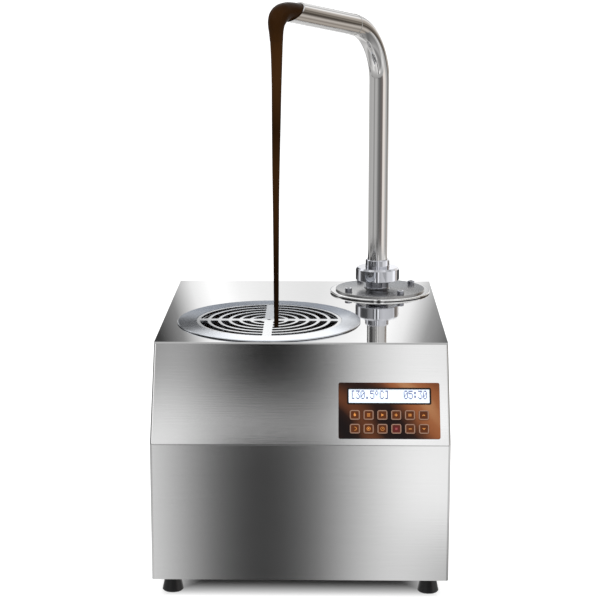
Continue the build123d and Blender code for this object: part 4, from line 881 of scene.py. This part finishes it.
for number, name in enumerate(KEYS, 1):
    mesh = nodes[name].data
    red = number == red_key
    paint(key_rim, name)
    mesh.materials.append(key_red if red else key_dish)
    top = face_center(name)
    crown = [vertex.co - top for vertex in mesh.vertices if (top - vertex.co).dot(out) < crown_depth]
    half = max(abs(offset.dot(right)) for offset in crown)
    dish = top
    for polygon in mesh.polygons:
        offset = polygon.center - top
        inside = max(abs(offset.dot(right)), abs(offset.dot(up))) < half - rim_width
        if inside and -offset.dot(out) < dish_depth and polygon.normal.dot(out) > FACING:
            polygon.material_index = 1
            dish = top + out * offset.dot(out)
    points, faces = [], []
    for outline in plates[number]:
        prism(points, faces, [(x * MM, y * MM) for x, y in outline], dish, sign_lift)
    if number in hoops:
        outer, inner = hoops[number]
        hoop(points, faces, circle(outer * MM), circle(inner * MM), dish, sign_lift)
    sign = piece(f"{name}_sign", points, faces, sign_red if red else sign_ink, name, smooth=False)

# Casing screws: a dark cross on each head, painted shade that stands for the hollow of its cross recess
face_depth = 0.1 * MM
head_reach = 12.0 * MM
cross_reach = 1.9 * MM
cross_half = 0.4 * MM
cross_lift = 0.03 * MM


def heads(axis):
    """Middles of the screw heads that face along an axis."""
    top = extent("casing_screws", axis)[1]
    groups = []
    for vertex in nodes["casing_screws"].data.vertices:
        if top - vertex.co.dot(axis) < face_depth:
            near = [group for group in groups if (group[0] - vertex.co).length < head_reach]
            if near:
                near[0].append(vertex.co)
            else:
                groups.append([vertex.co])
    return [sum(group, Vector()) / len(group) for group in groups]


# Painted shade: a near-black flat cross instead of the recess's real hollow
recess_shade = moulded("screw_recess_shade", (0.03, 0.03, 0.03), 0.5, 900.0, metallic=1.0)
points, faces = [], []
for axis in (BACKWARD, -UPRIGHT):
    axes = (ACROSS, axis.cross(ACROSS), axis)
    for spot in heads(axis):
        for half_x, half_y in ((cross_reach, cross_half), (cross_half, cross_reach)):
            prism(points, faces, bar(-half_x, -half_y, half_x, half_y), spot, cross_lift, axes)
piece("screw_crosses", points, faces, recess_shade, "root", smooth=False)

# Spout: its axis from the outlet's mount, and a weld bead between the bend and the arm
mount = next(item for item in frame["record"]["mounts"] if item["name"] == "spout_outlet")
arm_axis = Vector(mount["axis"]).normalized()
arm_side = arm_axis.cross(UPRIGHT).normalized()
arm_low, arm_high = extent("spout_arm", arm_axis)
side_low, side_high = extent("spout_arm", arm_side)
tube_radius = (side_high - side_low) / 2


def on_arm(distance):
    """The point of the arm's middle line at a distance along its axis."""
    spot = Vector(mount["pos_m"])
    return spot + arm_axis * (distance - spot.dot(arm_axis))


weld = polished("weld_steel", (0.6, 0.59, 0.57), 0.2, spread=0.06, waviness=0.3)
bead_radius = 0.45 * MM
bead_sides = 8
bead_count = 72
rings = []
for i in range(bead_sides):
    turn = 2 * math.pi * i / bead_sides
    center = on_arm(arm_low - bead_radius * math.cos(turn))
    rings.append(ring_points(center, arm_axis, tube_radius + bead_radius * math.sin(turn), bead_count))
points, faces = [], []
add_skin(points, faces, rings, looped=True)
piece("spout_weld", points, faces, weld, "spout")

# Chocolate: the mass at the slanted outlet, the fall through the grille and the pool in the tank
cocoa = Look("chocolate", (0.035, 0.0138, 0.0034), 0.3, Specular_IOR_Level=0.035)
swirl = cocoa.noise(cocoa.mapped((40.0, 40.0, 8.0)), detail=2.0)
# Painted light and shade: the chocolate is lighter and darker in bands by height, darkest low in the tank
cocoa_rise = cocoa.range(cocoa.height(), 0.0, 1.0, start=300.0 * MM, end=630.0 * MM)
painted_light_by_height = cocoa.ramp(cocoa_rise, [
    (0.0, 0.0), (0.14, 0.04), (0.3, 0.6), (0.46, 0.6), (0.59, 0.22), (0.7, 0.75), (0.81, 1.05), (0.9, 0.65),
    (0.975, 0.35), (1.0, 0.05),
])
cocoa.tone(cocoa.math("ADD", painted_light_by_height, cocoa.math("MULTIPLY", swirl, 0.2)), dark=0.2, light=1.6)
cocoa.gloss(swirl, spread=0.06)
cocoa.bump(swirl, strength=0.1, distance=0.6 * MM)
flow = Vector((arm_axis.x, arm_axis.y, 0.0)).normalized()
outlet = on_arm(arm_high - tube_radius)
landing_offset = Vector((9.4, -38.0, 0.0)) * MM
landing = tank_center + landing_offset

# The stream's marks are in millimetres: run along the spout's direction from the outlet, height and radius
LIP = (
    (-14, 618.4, 10.3), (0, 620.4, 10.4), (11.3, 621.4, 10.2), (18, 621.0, 10.3), (24.3, 619.6, 10.6),
    (30, 616.3, 10.7), (33.6, 611.2, 10.0), (34.9, 605.8, 9.0), (34.9, 597.9, 7.85), (34.4, 589.0, 7.0),
    (34.2, 584.0, 4.0), (34.2, 582.0, 0.3),
)
FALL = (
    (34.8, 599.0, 7.9), (34.4, 589.0, 7.1), (34.2, 577.7, 6.6), (34.0, 566.0, 6.2), (33.9, 540.0, 5.5),
    (33.9, 510.0, 5.1), (33.9, 465.0, 4.4), (33.9, 420.0, 3.7), (33.9, 358.0, 3.2), (33.9, 300.0, 2.8),
    (33.9, 272.0, 2.5), (33.9, 225.0, 2.3), (33.9, 212.0, 1.8), (33.9, 210.0, 0.2),
)
drift_top = 600.0
drift_foot = 420.0
least_radius = 0.05
stream_sides = 40
stream_steps = 6


def stream_point(run, height):
    """A point of the stream, which drifts from the outlet to its landing between two heights."""
    spot = outlet + flow * run * MM
    drift = min(max((drift_top - height) / (drift_top - drift_foot), 0.0), 1.0)
    ease = drift * drift * (3.0 - 2.0 * drift)
    spot = spot.lerp(landing, ease)
    return Vector((spot.x, spot.y, height * MM))


def between(t, before, start, end, after):
    """A smooth step from start to end, on a cubic curve."""
    square = 2 * before - 5 * start + 4 * end - after
    cube = 3 * start - before - 3 * end + after
    return 0.5 * (2 * start + (end - before) * t + square * t ** 2 + cube * t ** 3)


def stream(name, marks):
    """A smooth round skin through marks of run, height and radius."""
    curve = []
    for i in range(len(marks) - 1):
        before = marks[max(i - 1, 0)]
        start, end = marks[i], marks[i + 1]
        after = marks[min(i + 2, len(marks) - 1)]
        for step in range(stream_steps):
            t = step / stream_steps
            curve.append(tuple(between(t, *values) for values in zip(before, start, end, after)))
    curve.append(marks[-1])
    spots = [stream_point(run, height) for run, height, _ in curve]
    radii = [max(radius, least_radius) * MM for _, _, radius in curve]
    rings = []
    for i, (spot, radius) in enumerate(zip(spots, radii)):
        along = (spots[min(i + 1, len(spots) - 1)] - spots[max(i - 1, 0)]).normalized()
        rings.append(ring_points(spot, along, radius, stream_sides))
    points, faces = [], []
    add_skin(points, faces, rings)
    return piece(name, points, faces, cocoa.material, "spout")


stream("chocolate_lip", LIP)
fall = stream("chocolate_fall", FALL)
fall.visible_glossy = False
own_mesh(fall)

pool_radius = 82.9 * MM
pool_level = 214.0 * MM
pool_depth = 4.0 * MM
pool_edge = 0.6 * MM
wave_height = 2.0 * MM
wave_count = 3
wave_twist = 9
pool_sides = 96
pool_rings = ((0.002, 0.0), (0.3, 0.0), (0.7, 0.0), (0.96, 0.0), (1.0, pool_edge), (1.0, pool_depth))
rings = []
for share, drop_depth in pool_rings:
    ring = []
    for i in range(pool_sides):
        turn = 2 * math.pi * i / pool_sides
        wave = wave_height * math.sin(wave_count * turn + wave_twist * share) * share * (1 - share)
        x = tank_center.x + share * pool_radius * math.cos(turn)
        y = tank_center.y + share * pool_radius * math.sin(turn)
        ring.append(Vector((x, y, pool_level - drop_depth + wave)))
    rings.append(ring)
points, faces = [], []
add_skin(points, faces, rings)
piece("chocolate_pool", points, faces, cocoa.material, "root")
